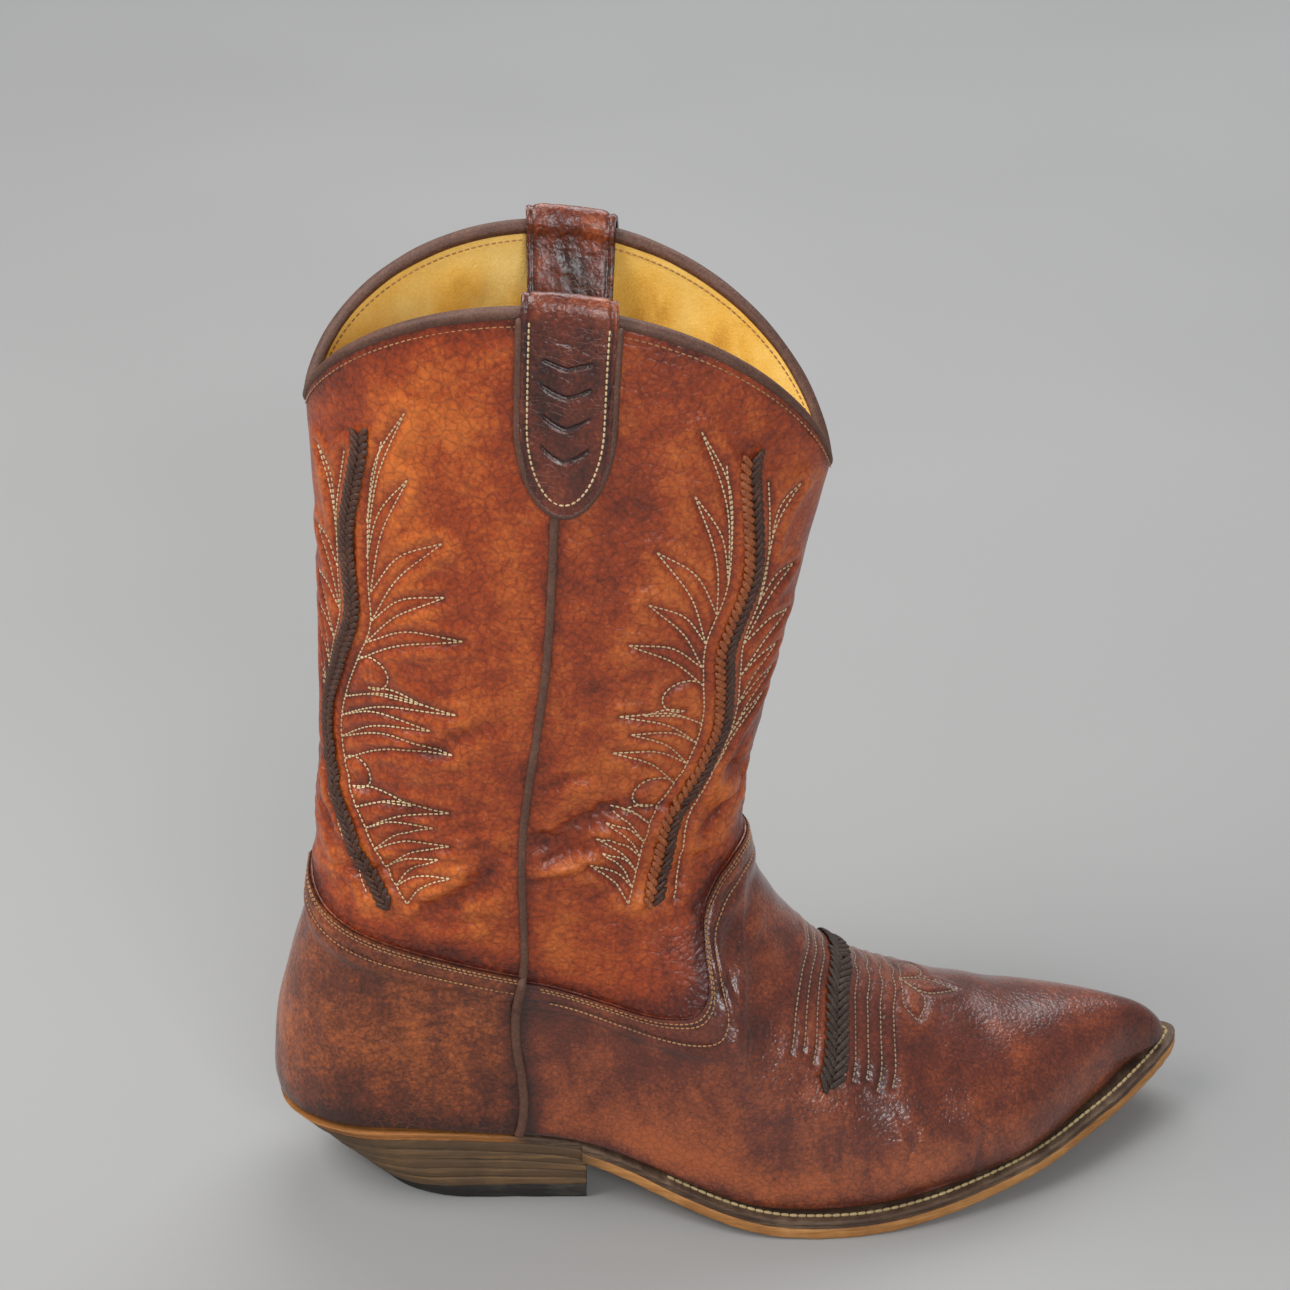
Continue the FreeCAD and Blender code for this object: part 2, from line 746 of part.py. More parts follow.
welt_slab = slab("welt_slab", "sizes.welt_thickness - sizes.layer_gap", "-sizes.layer_gap / 2")
ring_blank = combine("Cut", "welt_ring_blank", outer_blank, inner_blank)
ring = combine("Common", "welt_ring", ring_blank, welt_slab)
RAND_FRONT = 10.0
subpart("Common", "welt", ring, block("welt_stretch", RAND_FRONT + 0.1, 260.0))
subpart("Common", "heel_rand", ring, block("rand_stretch", -90.0, RAND_FRONT))

insole_slab = slab("insole_slab", "sizes.insole_thickness", "sizes.insole_thickness + 2 * sizes.layer_gap")
subpart("Common", "insole", insole_blank, insole_slab)
sock_slab = slab(
    "sock_slab", "sizes.sock_thickness",
    "sizes.insole_thickness + sizes.sock_thickness + 3 * sizes.layer_gap",
)
subpart("Common", "sock_lining", insole_blank, sock_slab)

# The shank is a steel strip let into the top of the filler through the waist.
shank_blank = doc.addObject("Part::Box", "shank_blank")
shank_blank.setExpression("Length", "sizes.shank_length")
shank_blank.setExpression("Width", "sizes.shank_width")
shank_blank.setExpression("Height", "sizes.blank_height")
shank_blank.setExpression(".Placement.Base.x", "sizes.shank_rear")
shank_blank.setExpression(".Placement.Base.y", "-sizes.shank_width / 2")
shank_blank.setExpression(".Placement.Base.z", "-10")
shank_slab = slab("shank_slab", "sizes.shank_thickness", "-sizes.layer_gap")
shank = subpart("Common", "shank", shank_blank, shank_slab)

filler_slab = slab("filler_slab", "sizes.welt_thickness - sizes.layer_gap", "sizes.layer_gap / 2")
filler_whole = combine("Common", "filler_whole", insole_blank, filler_slab)
subpart("Cut", "bottom_filler", filler_whole, shank)

# ---------------------------------------------------------------- the stacked heel

HEEL_LIFTS = 4
HEEL_REAR_LENGTH = 34.0


def heel_outline(body, name, height, rear, half_width):
    """A heel section at a height: a straight breast, parallel sides and a rounded rear."""
    sketch = body.newObject("Sketcher::SketchObject", name)
    plane = [o for o in body.Origin.OriginFeatures if o.Role == "XY_Plane"][0]
    sketch.AttachmentSupport = [(plane, "")]
    sketch.MapMode = "FlatFace"
    sketch.AttachmentOffset = FreeCAD.Placement(Vector(0, 0, height), FreeCAD.Rotation())
    breast = size("heel_breast")
    bend = rear + HEEL_REAR_LENGTH
    turns = [math.radians(angle) for angle in (0, 22, 45, 67, 90, 113, 135, 158, 180)]
    rear_points = [
        Vector(bend - HEEL_REAR_LENGTH * math.sin(turn), half_width * math.cos(turn), 0) for turn in turns
    ]
    spline = Part.BSplineCurve()
    spline.interpolate(rear_points, InitialTangent=Vector(-1, 0, 0), FinalTangent=Vector(1, 0, 0))
    left, right = Vector(breast, half_width, 0), Vector(breast, -half_width, 0)
    sketch.addGeometry(spline, False)
    sketch.addGeometry(Part.LineSegment(rear_points[-1], right), False)
    sketch.addGeometry(Part.LineSegment(right, left), False)
    sketch.addGeometry(Part.LineSegment(left, rear_points[0]), False)
    return sketch


heel_body = doc.addObject("PartDesign::Body", "heel_blank")
ground_sketch = heel_outline(
    heel_body, "heel_ground", 0.0, size("heel_rear_ground"), size("heel_half_ground"),
)
seat_sketch = heel_outline(
    heel_body, "heel_seat", size("heel_blank_height"), size("heel_rear_seat"), size("heel_half_seat"),
)
doc.recompute()
heel_loft = heel_body.newObject("PartDesign::AdditiveLoft", "heel_loft")
heel_loft.Profile = ground_sketch
heel_loft.Sections = [seat_sketch]
heel_loft.Ruled = True
doc.recompute()

HEEL_X = [-80.0, -50.0, -20.0, 10.0, 40.0]


def lift_level(x, share):
    """The height of a joint between lifts: 0 at the top lift's upper face, 1 under the outsole."""
    gap = size("layer_gap")
    low = size("top_lift_thickness") - size("top_lift_wear") * ease(10.0, -60.0, x)
    high = sole_z(x) - size("welt_thickness") - size("outsole_thickness") - 4 * gap
    return low + (high - low) * share


def heel_band(name, share_low, share_high):
    """The stretch of the heel between two of those joints, across the whole boot."""
    gap = size("layer_gap")

    def level(share, lift):
        if share is None:
            return [Vector(x, 0, -5.0) for x in HEEL_X]
        return [Vector(x, 0, lift_level(x, share) + lift) for x in HEEL_X]

    bottom = Part.BSplineCurve()
    bottom.interpolate(level(share_low, gap))
    top = Part.BSplineCurve()
    top.interpolate(level(share_high, 0.0))
    ends = [
        Part.LineSegment(bottom.StartPoint, top.StartPoint),
        Part.LineSegment(bottom.EndPoint, top.EndPoint),
    ]
    sides = [bottom.toShape(), ends[1].toShape(), top.toShape(), ends[0].toShape()]
    wire = Part.Wire(Part.__sortEdges__(sides))
    band = doc.addObject("Part::Feature", name)
    half = size("blank_width") / 2
    band.Shape = Part.Face(wire).extrude(Vector(0, 2 * half, 0))
    band.Placement = FreeCAD.Placement(Vector(0, -half, 0), FreeCAD.Rotation())
    return band


# Six nails hold the top lift: two across the breast and four round the rear.
NAIL_PLACES = [(24.0, 17.0), (24.0, -17.0), (2.0, 20.0), (2.0, -20.0), (-20.0, 14.0), (-20.0, -14.0)]
nail_list = []
for number, (x, y) in enumerate(NAIL_PLACES, start=1):
    nail = doc.addObject("Part::Cylinder", f"nail_{number}")
    nail.setExpression("Radius", "sizes.nail_radius")
    nail.setExpression("Height", "sizes.nail_length")
    nail.Placement.Base = Vector(x, y, 0)
    nail.setExpression(".Placement.Base.z", "sizes.nail_sink")
    nail_list.append(nail)
nails = doc.addObject("Part::Compound", "heel_nails")
nails.Label = "heel_nails"
nails.Links = nail_list
SUBPARTS.append(nails)


def heel_piece(name, share_low, share_high, nailed):
    band = heel_band(f"{name}_band", share_low, share_high)
    if nailed:
        whole = combine("Common", f"{name}_whole", heel_body, band)
        subpart("Cut", name, whole, nails)
    else:
        subpart("Common", name, heel_body, band)


heel_piece("top_lift", None, 0.0, True)
for number in range(HEEL_LIFTS):
    heel_piece(
        f"heel_lift_{number + 1}", number / HEEL_LIFTS, (number + 1) / HEEL_LIFTS, number < 2,
    )

# ---------------------------------------------------------------- welt stitching

def outline_curve(points):
    spline = Part.BSplineCurve()
    spline.interpolate([Vector(x, y, 0) for x, y in points], PeriodicFlag=True)
    return spline


def welt_stitching():
    """Short raised stitches along the welt, from one side of the waist round the toe to the other."""
    stitch_line = outline_curve(inset(SOLE_OUTLINE, 2.0)).toShape()
    count = int(stitch_line.Length / size("stitch_pitch"))
    stitches = []
    for spot in stitch_line.discretize(count):
        if spot.x < 62.0:
            continue
        parameter = stitch_line.Curve.parameter(spot)
        tangent = stitch_line.tangentAt(parameter)
        slope = (sole_z(spot.x + 1) - sole_z(spot.x - 1)) / 2
        direction = Vector(tangent.x, tangent.y, slope * tangent.x)
        stitch = Part.makeBox(size("stitch_length"), size("stitch_width"), size("stitch_height"))
        stitch.translate(Vector(-size("stitch_length") / 2, -size("stitch_width") / 2, 0.12))
        heading = FreeCAD.Rotation(Vector(1, 0, 0), direction)
        stitch.Placement = FreeCAD.Placement(
            Vector(spot.x, spot.y, sole_z(spot.x)), heading,
        ).multiply(stitch.Placement)
        stitches.append(stitch)
    feature("welt_stitching", Part.makeCompound(stitches))


welt_stitching()

# ---------------------------------------------------------------- check and write

doc.recompute()
for item in doc.Objects:
    if "Invalid" in item.State or "Error" in item.State:
        raise RuntimeError(f"{item.Name} failed: {item.State}")
for piece in SUBPARTS:
    shape = piece.Shape
    if shape.isNull() or not shape.isValid() or shape.Volume <= 0:
        raise RuntimeError(f"{piece.Label} has no valid shape")

os.makedirs("parts", exist_ok=True)
for piece in SUBPARTS:
    piece.Shape.exportStep(os.path.join("parts", f"{piece.Label}.step"))
    box = piece.Shape.BoundBox
    print(
        f"{piece.Label:26s} solids {len(piece.Shape.Solids):3d}  volume {piece.Shape.Volume:10.1f}"
        f"  x {box.XMin:.1f}..{box.XMax:.1f}  y {box.YMin:.1f}..{box.YMax:.1f}"
        f"  z {box.ZMin:.1f}..{box.ZMax:.1f}"
    )
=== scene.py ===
import math

import bmesh
import bpy
import numpy as np
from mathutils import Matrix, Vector, kdtree


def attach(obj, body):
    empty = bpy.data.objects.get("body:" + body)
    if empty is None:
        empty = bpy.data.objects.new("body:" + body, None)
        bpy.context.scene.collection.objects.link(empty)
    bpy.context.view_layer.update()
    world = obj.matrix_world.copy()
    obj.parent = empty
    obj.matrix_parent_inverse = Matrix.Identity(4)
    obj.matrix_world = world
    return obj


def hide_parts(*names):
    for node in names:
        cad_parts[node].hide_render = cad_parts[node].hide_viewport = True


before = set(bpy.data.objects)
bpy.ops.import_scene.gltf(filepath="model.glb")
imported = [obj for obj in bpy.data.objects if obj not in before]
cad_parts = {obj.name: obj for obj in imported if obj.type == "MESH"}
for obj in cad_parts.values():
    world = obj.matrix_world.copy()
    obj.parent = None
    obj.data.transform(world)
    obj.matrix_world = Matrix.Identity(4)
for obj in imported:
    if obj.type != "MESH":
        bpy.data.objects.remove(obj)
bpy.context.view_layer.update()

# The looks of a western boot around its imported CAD. Shapes are worked out in millimetres on
# the same skin as the CAD's: height 0 at the feather line to 1 at the topline, and angle 0 at
# the back, 90 at the outer side seam, 180 in front and 270 at the inner side seam.
MM = 0.001
BODY = "root"

# ---------------------------------------------------------------- smooth curves and the skin


def curve(stations, values, x):
    """A smooth curve through a few stations, as in the CAD: cubic Hermite, span-weighted slopes."""
    xs, ys = np.asarray(stations, float), np.asarray(values, float)
    steps = np.diff(xs)
    slopes = np.diff(ys) / steps
    tangent = np.empty_like(ys)
    tangent[0], tangent[-1] = slopes[0], slopes[-1]
    tangent[1:-1] = (slopes[:-1] * steps[1:] + slopes[1:] * steps[:-1]) / (steps[:-1] + steps[1:])
    x = np.clip(np.asarray(x, float), xs[0], xs[-1])
    i = np.clip(np.searchsorted(xs, x, side="right") - 1, 0, len(xs) - 2)
    t = (x - xs[i]) / steps[i]
    start = (2 * t**3 - 3 * t**2 + 1) * ys[i] + (t**3 - 2 * t**2 + t) * steps[i] * tangent[i]
    end = (3 * t**2 - 2 * t**3) * ys[i + 1] + (t**3 - t**2) * steps[i] * tangent[i + 1]
    return start + end


def ease(low, high, x):
    t = np.clip((np.asarray(x, float) - low) / (high - low), 0, 1)
    return t * t * (3 - 2 * t)


# height, front x and z, back x and z, how much the ring follows the sole, shaft half width
RINGS = np.array([
    (0.00, 240.0, 25.0, -72.0, 31.6, 1.00, 34.0),
    (0.05, 238.0, 33.0, -73.0, 38.0, 0.97, 35.0),
    (0.10, 229.0, 41.0, -73.0, 46.0, 0.88, 36.0),
    (0.16, 207.0, 48.0, -72.0, 56.0, 0.72, 37.0),
    (0.22, 176.0, 55.0, -70.0, 67.0, 0.52, 38.0),
    (0.28, 146.0, 65.5, -66.5, 80.0, 0.33, 38.0),
    (0.34, 121.0, 80.0, -62.0, 95.0, 0.18, 37.5),
    (0.41, 103.0, 98.0, -57.5, 112.0, 0.08, 37.0),
    (0.49, 91.0, 119.0, -54.8, 131.0, 0.02, 37.0),
    (0.58, 87.0, 144.0, -53.0, 155.0, 0.00, 38.0),
    (0.70, 93.5, 183.0, -50.5, 193.0, 0.00, 40.0),
    (0.82, 101.0, 221.0, -49.0, 231.0, 0.00, 40.0),
    (0.92, 107.5, 250.0, -49.2, 264.0, 0.00, 38.0),
    (1.00, 112.0, 271.0, -50.0, 290.0, 0.00, 36.0),
])
TOPLINE_RISE = 53.0
SOLE_X = [-75, -40, 0, 20, 35, 50, 62, 75, 95, 115, 135, 160, 185, 210, 240, 250]
SOLE_Z = [31.6, 31.1, 29.6, 27.8, 25.0, 20.8, 16.8, 13.0, 8.6, 7.4, 7.6, 9.9, 13.5, 18.1, 25.0, 27.5]
RIDGE_X = [-75, 60, 86, 120, 150, 180, 205, 228, 240]
RIDGE_Y = [0, 0, 0, 2.5, 7, 14, 20, 25, 27]
OUTER_X = [-75, -35, 0, 35, 60, 86, 115, 144, 158, 173, 184, 194, 205, 217, 226, 240]
OUTER_W = [31, 31, 32.5, 33, 39, 46.5, 49, 48.2, 46.4, 43.6, 40.7, 35.6, 27.8, 18.5, 11, 8]
INNER_X = [-75, -35, 0, 35, 60, 85, 110, 130, 150, 170, 190, 210, 226, 240]
INNER_W = [31, 31, 31.5, 29.5, 29.5, 33.5, 39.5, 42, 41, 37, 31, 22, 12.5, 9]
HEEL_CAP_X, HEEL_CAP_LENGTH = -36.0, 36.0
TOE_CAP_X, TOE_CAP_LENGTH = 226.0, 14.0
FOOT_ROUNDNESS = 2.1

RIDGE_TABLE_H = np.linspace(0, 0.58, 3000)
RIDGE_TABLE_X = curve(RINGS[:, 0], RINGS[:, 1], RIDGE_TABLE_H)


def sole_z(x):
    return curve(SOLE_X, SOLE_Z, x)


def skin(height, angle):
    """Points of the outer skin, in millimetres, for arrays of heights and angles in degrees."""
    height, angle = np.broadcast_arrays(np.asarray(height, float), np.asarray(angle, float))
    front_x, front_z, back_x, back_z, follow, half_width = [
        curve(RINGS[:, 0], RINGS[:, k], height) for k in range(1, 7)
    ]
    turn = np.radians(angle)
    share = (1 - np.cos(turn)) / 2
    side = np.where(angle % 360.0 < 180.0, -1.0, 1.0)
    x = back_x + (front_x - back_x) * share
    z = back_z + (front_z - back_z) * share
    z = z + follow * (sole_z(x) - sole_z(back_x) * (1 - share) - sole_z(front_x) * share)
    across = np.abs(np.sin(turn))
    z = z + ease(0.78, 1.0, height) * TOPLINE_RISE * across**1.2 * (1 - 0.06 * np.cos(turn))
    ridge = np.interp(x, RIDGE_TABLE_X[::-1], RIDGE_TABLE_H[::-1])
    ridge = np.where(x < 87.0, 0.58 + (87.0 - x) * 0.012, ridge)
    rise = np.clip(height / np.maximum(ridge, 1e-6), 0, 1)
    shifted = x - (back_x + 72.0) * (1 - ease(-75.0, -5.0, x))
    width = np.where(side < 0, curve(OUTER_X, OUTER_W, shifted), curve(INNER_X, INNER_W, shifted))
    heel = np.clip((HEEL_CAP_X - shifted) / HEEL_CAP_LENGTH, 0, 1)
    toe = np.clip((shifted - TOE_CAP_X) / TOE_CAP_LENGTH, 0, 1)
    foot = width * np.sqrt(1 - heel**2) * np.sqrt(1 - toe**2)
    foot = foot * (1 - rise**FOOT_ROUNDNESS) ** (1 / FOOT_ROUNDNESS)
    foot = foot * (1 + 0.09 * np.sin(np.pi * rise) * ease(20, 60, x) * (1 - ease(190, 230, x)))
    shaft = ease(0.26, 0.56, height)
    y = side * ((1 - shaft) * foot + shaft * half_width * across)
    twist = (2 * (1 - share) - 7 * share) * ease(0.5, 1.0, height)
    return np.stack([x, y + (1 - shaft) * curve(RIDGE_X, RIDGE_Y, x) + shaft * twist, z], -1)


def unit(vectors):
    return vectors / np.maximum(np.linalg.norm(vectors, axis=-1, keepdims=True), 1e-9)


def outward(height, angle):
    low, high = np.clip(height - 0.004, 0, 1), np.clip(height + 0.004, 0, 1)
    along = skin(high, angle) - skin(low, angle)
    around = skin(height, angle + 0.8) - skin(height, angle - 0.8)
    return unit(np.cross(around, along))


def layer(height, angle, depth):
    height, angle = np.broadcast_arrays(np.asarray(height, float), np.asarray(angle, float))
    return skin(height, angle) + outward(height, angle) * np.asarray(depth, float)[..., None]


def height_at_z(angle, z):
    """The height on the skin, for arrays of angles and z in millimetres."""
    angle, z = np.asarray(angle, float), np.asarray(z, float)
    low, high = np.zeros_like(z), np.ones_like(z)
    for _ in range(22):
        middle = (low + high) / 2
        under = skin(middle, angle)[..., 2] < z
        low, high = np.where(under, middle, low), np.where(under, high, middle)
    return (low + high) / 2


# ---------------------------------------------------------------- meshes


def make_object(name, vertices, quads, material, smooth=True, tone=None):
    """A mesh in metres from millimetre points and quads (a repeated last corner makes a triangle)."""
    mesh = bpy.data.meshes.new(name)
    quads = np.asarray(quads, np.int32)
    mesh.vertices.add(len(vertices))
    mesh.vertices.foreach_set("co", (np.asarray(vertices, float) * MM).astype(np.float32).ravel())
    mesh.loops.add(quads.size)
    mesh.loops.foreach_set("vertex_index", quads.ravel())
    mesh.polygons.add(len(quads))
    mesh.polygons.foreach_set("loop_start", np.arange(0, quads.size, 4, dtype=np.int32))
    mesh.polygons.foreach_set("use_smooth", np.full(len(quads), smooth))
    mesh.update(calc_edges=True)
    mesh.validate()
    if tone is not None:
        attribute = mesh.attributes.new("tone", "FLOAT", "POINT")
        attribute.data.foreach_set("value", np.asarray(tone, np.float32).ravel())
    mesh.materials.append(material)
    piece = bpy.data.objects.new(name, mesh)
    bpy.context.scene.collection.objects.link(piece)
    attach(piece, BODY)
    return piece


def grid_quads(columns, rows, start=0, wrap_columns=False, wrap_rows=False, flip=False):
    """Quads of a grid whose point (i, j) has the index start + i * rows + j."""
    i = np.arange(columns if wrap_columns else columns - 1)[:, None]
    j = np.arange(rows if wrap_rows else rows - 1)[None]
    i2, j2 = (i + 1) % columns, (j + 1) % rows
    quads = np.stack(np.broadcast_arrays(
        start + i * rows + j, start + i2 * rows + j, start + i2 * rows + j2, start + i * rows + j2), -1)
    quads = quads.reshape(-1, 4)
    return quads[:, ::-1] if flip else quads


def shell_quads(columns, rows):
    """Two grids of the same size, the outer one first, closed at their four sides."""
    size = columns * rows
    rim = np.concatenate([
        np.arange(rows) + 0,
        np.arange(1, columns) * rows + rows - 1,
        (columns - 1) * rows + np.arange(rows - 2, -1, -1),
        np.arange(columns - 2, 0, -1) * rows,
    ])
    after = np.roll(rim, -1)
    walls = np.stack([rim, after, after + size, rim + size], -1)
    return np.concatenate([
        grid_quads(columns, rows), grid_quads(columns, rows, start=size, flip=True), walls[:, ::-1],
    ])


def shell(name, outer, inner, material, tone=None):
    """A closed leather piece from its outer and inner grids of points."""
    columns, rows = outer.shape[:2]
    points = np.concatenate([outer.reshape(-1, 3), inner.reshape(-1, 3)])
    if tone is not None:
        tone = np.concatenate([tone.ravel(), tone.ravel()])
    quads = shell_quads(columns, rows)[:, ::-1]
    return make_object(name, points, quads, material, tone=tone)


def frames_along(path, normals):
    """Tangents and sideways vectors of a path that lies on a surface with those normals."""
    tangent = unit(np.gradient(path, axis=0))
    sideways = unit(np.cross(normals, tangent))
    return tangent, sideways


def tube(path, normals, half_width, half_height, sides=12, closed=False):
    """An oval tube along a path, with rounded closed ends."""
    tangent, sideways = frames_along(path, normals)
    lift = unit(np.cross(tangent, sideways))
    turn = np.linspace(0, 2 * np.pi, sides, endpoint=False)
    grow = np.ones(len(path))
    if not closed:
        travel = np.concatenate([[0], np.cumsum(np.linalg.norm(np.diff(path, axis=0), axis=1))])
        reach = np.minimum(travel, travel[-1] - travel)
        grow = np.sqrt(np.clip(1 - (1 - np.clip(reach / max(np.max(half_width), 1e-6), 0, 1)) ** 2, 0.02, 1))
    ring = (sideways[:, None] * np.cos(turn)[None, :, None] * np.reshape(half_width * grow, (-1, 1, 1))
            + lift[:, None] * np.sin(turn)[None, :, None] * np.reshape(half_height * grow, (-1, 1, 1)))
    points = (path[:, None] + ring).reshape(-1, 3)
    quads = grid_quads(len(path), sides, wrap_columns=closed, wrap_rows=True)
    if not closed:
        first, last = len(points), len(points) + 1
        points = np.concatenate([points, path[:1], path[-1:]])
        k = np.arange(sides)
        k2 = (k + 1) % sides
        end = (len(path) - 1) * sides
        quads = np.concatenate([
            quads,
            np.stack([k2, k, np.full(sides, first), np.full(sides, first)], -1),
            np.stack([end + k, end + k2, np.full(sides, last), np.full(sides, last)], -1),
        ])
    return points, quads


def make_tube(name, path, normals, half_width, half_height, material, **options):
    points, quads = tube(path, normals, half_width, half_height, **options)
    return make_object(name, points, quads, material)


def resample(path, pitch):
    """Points along a path at an even pitch, and the path's own parameter there."""
    travel = np.concatenate([[0], np.cumsum(np.linalg.norm(np.diff(path, axis=0), axis=-1))])
    count = max(int(travel[-1] / pitch), 1)
    stops = (np.arange(count) + 0.5) * travel[-1] / count
    share = np.interp(stops, travel, np.arange(len(path)))
    return np.stack([np.interp(share, np.arange(len(path)), path[:, k]) for k in range(3)], -1), share


STITCH_RINGS = ((-0.5, 0.35), (-0.36, 0.85), (0.0, 1.0), (0.36, 0.85), (0.5, 0.35))
STITCH_SIDES = 6


def stitch_points(path, normals, pitch, length, width):
    """Small rounded stitches along a path: points and quads of all of them."""
    spots, share = resample(path, pitch)
    index = np.arange(len(path))
    lift = unit(np.stack([np.interp(share, index, normals[:, k]) for k in range(3)], -1))
    ahead = unit(np.stack([np.interp(share + 0.5, index, path[:, k]) for k in range(3)], -1)
                 - np.stack([np.interp(share - 0.5, index, path[:, k]) for k in range(3)], -1) + 1e-9)
    sideways = unit(np.cross(lift, ahead))
    turn = np.linspace(0, 2 * np.pi, STITCH_SIDES, endpoint=False)
    local = np.array([
        (along * length, radius * width / 2 * math.cos(a), radius * width / 2 * math.sin(a))
        for along, radius in STITCH_RINGS for a in turn
    ])
    points = (spots[:, None] + ahead[:, None] * local[None, :, :1]
              + sideways[:, None] * local[None, :, 1:2] + lift[:, None] * local[None, :, 2:])
    body = grid_quads(len(STITCH_RINGS), STITCH_SIDES, wrap_rows=True)
    last = (len(STITCH_RINGS) - 1) * STITCH_SIDES
    caps = [[0, 5, 4, 3], [0, 3, 2, 1]]
    caps += [[last, last + 1, last + 2, last + 3], [last, last + 3, last + 4, last + 5]]
    one = np.concatenate([body, np.array(caps)])
    size = len(local)
    quads = (np.arange(len(spots)) * size)[:, None, None] + one[None]
    return points.reshape(-1, 3), quads.reshape(-1, 4)


def join_parts(parts):
    """One set of points and quads from several."""
    points, quads, start = [], [], 0
    for some_points, some_quads in parts:
        points.append(some_points)
        quads.append(np.asarray(some_quads) + start)
        start += len(some_points)
    return np.concatenate(points), np.concatenate(quads)


def smooth_line(points, per_span=14):
    """A smooth line through a few points: Catmull-Rom."""
    points = np.asarray(points, float)
    if len(points) == 2:
        return points[0] + (points[1] - points[0]) * np.linspace(0, 1, per_span)[:, None]
    padded = np.concatenate([[2 * points[0] - points[1]], points, [2 * points[-1] - points[-2]]])
    t = np.linspace(0, 1, per_span, endpoint=False)[:, None]
    spans = []
    for k in range(1, len(padded) - 2):
        a, b, c, d = padded[k - 1], padded[k], padded[k + 1], padded[k + 2]
        spans.append(0.5 * (2 * b + (c - a) * t + (2 * a - 5 * b + 4 * c - d) * t**2
                            + (3 * b - a - 3 * c + d) * t**3))
    return np.concatenate(spans + [points[-1:]])


def wave(points, length, seed, count=7):
    """A soft undulation of unit size with about that wavelength, from a few seeded plane waves."""
    rng = np.random.default_rng(seed)
    total = np.zeros(points.shape[:-1])
    for _ in range(count):
        direction = rng.normal(size=3)
        direction *= 2 * np.pi / (length * rng.uniform(0.7, 1.5) * np.linalg.norm(direction))
        total += np.sin(points @ direction + rng.uniform(0, 2 * np.pi))
    return total / math.sqrt(count)


def nearest(tree, points):
    """The distance from each point to the nearest sample in a tree."""
    find = tree.find
    flat = points.reshape(-1, 3).tolist()
    return np.array([find(point)[2] for point in flat]).reshape(points.shape[:-1])


# ---------------------------------------------------------------- materials


class Nodes:
    """A short way to write a node material."""

    def __init__(self, name):
        self.material = bpy.data.materials.new(name)
        self.material.use_nodes = True
        self.tree = self.material.node_tree
        self.shader = self.tree.nodes["Principled BSDF"]
        self.place = self.add("ShaderNodeTexCoord").outputs["Object"]

    def add(self, kind, **settings):
        node = self.tree.nodes.new(kind)
        for key, value in settings.items():
            setattr(node, key, value)
        return node

    def feed(self, socket, value):
        if isinstance(value, bpy.types.NodeSocket):
            self.tree.links.new(value, socket)
        else:
            socket.default_value = value

    def noise(self, scale, detail=4.0, roughness=0.55, distortion=0.0, place=None):
        node = self.add("ShaderNodeTexNoise")
        self.feed(node.inputs["Vector"], place or self.place)
        node.inputs["Scale"].default_value = scale
        node.inputs["Detail"].default_value = detail
        node.inputs["Roughness"].default_value = roughness
        node.inputs["Distortion"].default_value = distortion
        return node.outputs["Fac"]

    def cells(self, scale, feature="F1", randomness=1.0, place=None):
        node = self.add("ShaderNodeTexVoronoi", feature=feature)
        self.feed(node.inputs["Vector"], place or self.place)
        node.inputs["Scale"].default_value = scale
        node.inputs["Randomness"].default_value = randomness
        return node.outputs["Distance"]

    def stretch(self, scale):
        node = self.add("ShaderNodeMapping")
        self.feed(node.inputs["Vector"], self.place)
        node.inputs["Scale"].default_value = scale
        return node.outputs["Vector"]

    def math(self, operation, a, b=0.0, clamp=False):
        node = self.add("ShaderNodeMath", operation=operation, use_clamp=clamp)
        self.feed(node.inputs[0], a)
        self.feed(node.inputs[1], b)
        return node.outputs[0]

    def ramp(self, value, stops):
        node = self.add("ShaderNodeValToRGB")
        self.feed(node.inputs[0], value)
        elements = node.color_ramp.elements
        while len(elements) < len(stops):
            elements.new(0.5)
        for element, (position, colour) in zip(elements, stops):
            element.position = position
            element.color = (*colour, 1.0) if hasattr(colour, "__len__") else (colour, colour, colour, 1.0)
        return node.outputs["Color"]

    def mix(self, amount, a, b, blend="MIX"):
        node = self.add("ShaderNodeMix", data_type="RGBA", blend_type=blend)
        self.feed(node.inputs["Factor"], amount)
        self.feed(node.inputs[6], a if isinstance(a, bpy.types.NodeSocket) else (*a, 1.0))
        self.feed(node.inputs[7], b if isinstance(b, bpy.types.NodeSocket) else (*b, 1.0))
        return node.outputs[2]

    def attribute(self, name):
        return self.add("ShaderNodeAttribute", attribute_name=name).outputs["Fac"]

    def bump(self, height, strength, distance, under=None):
        node = self.add("ShaderNodeBump")
        node.inputs["Strength"].default_value = strength
        node.inputs["Distance"].default_value = distance
        self.feed(node.inputs["Height"], height)
        if under is not None:
            self.feed(node.inputs["Normal"], under)
        return node.outputs["Normal"]

    def finish(self, colour, roughness, normal=None, coat=0.0, coat_roughness=0.3, specular=0.5, sheen=0.0):
        self.feed(self.shader.inputs["Base Color"], colour)
        self.feed(self.shader.inputs["Roughness"], roughness)
        if normal is not None:
            self.feed(self.shader.inputs["Normal"], normal)
        self.shader.inputs["Coat Weight"].default_value = coat
        self.shader.inputs["Coat Roughness"].default_value = coat_roughness
        self.shader.inputs["Specular IOR Level"].default_value = specular
        self.shader.inputs["Sheen Weight"].default_value = sheen
        return self.material


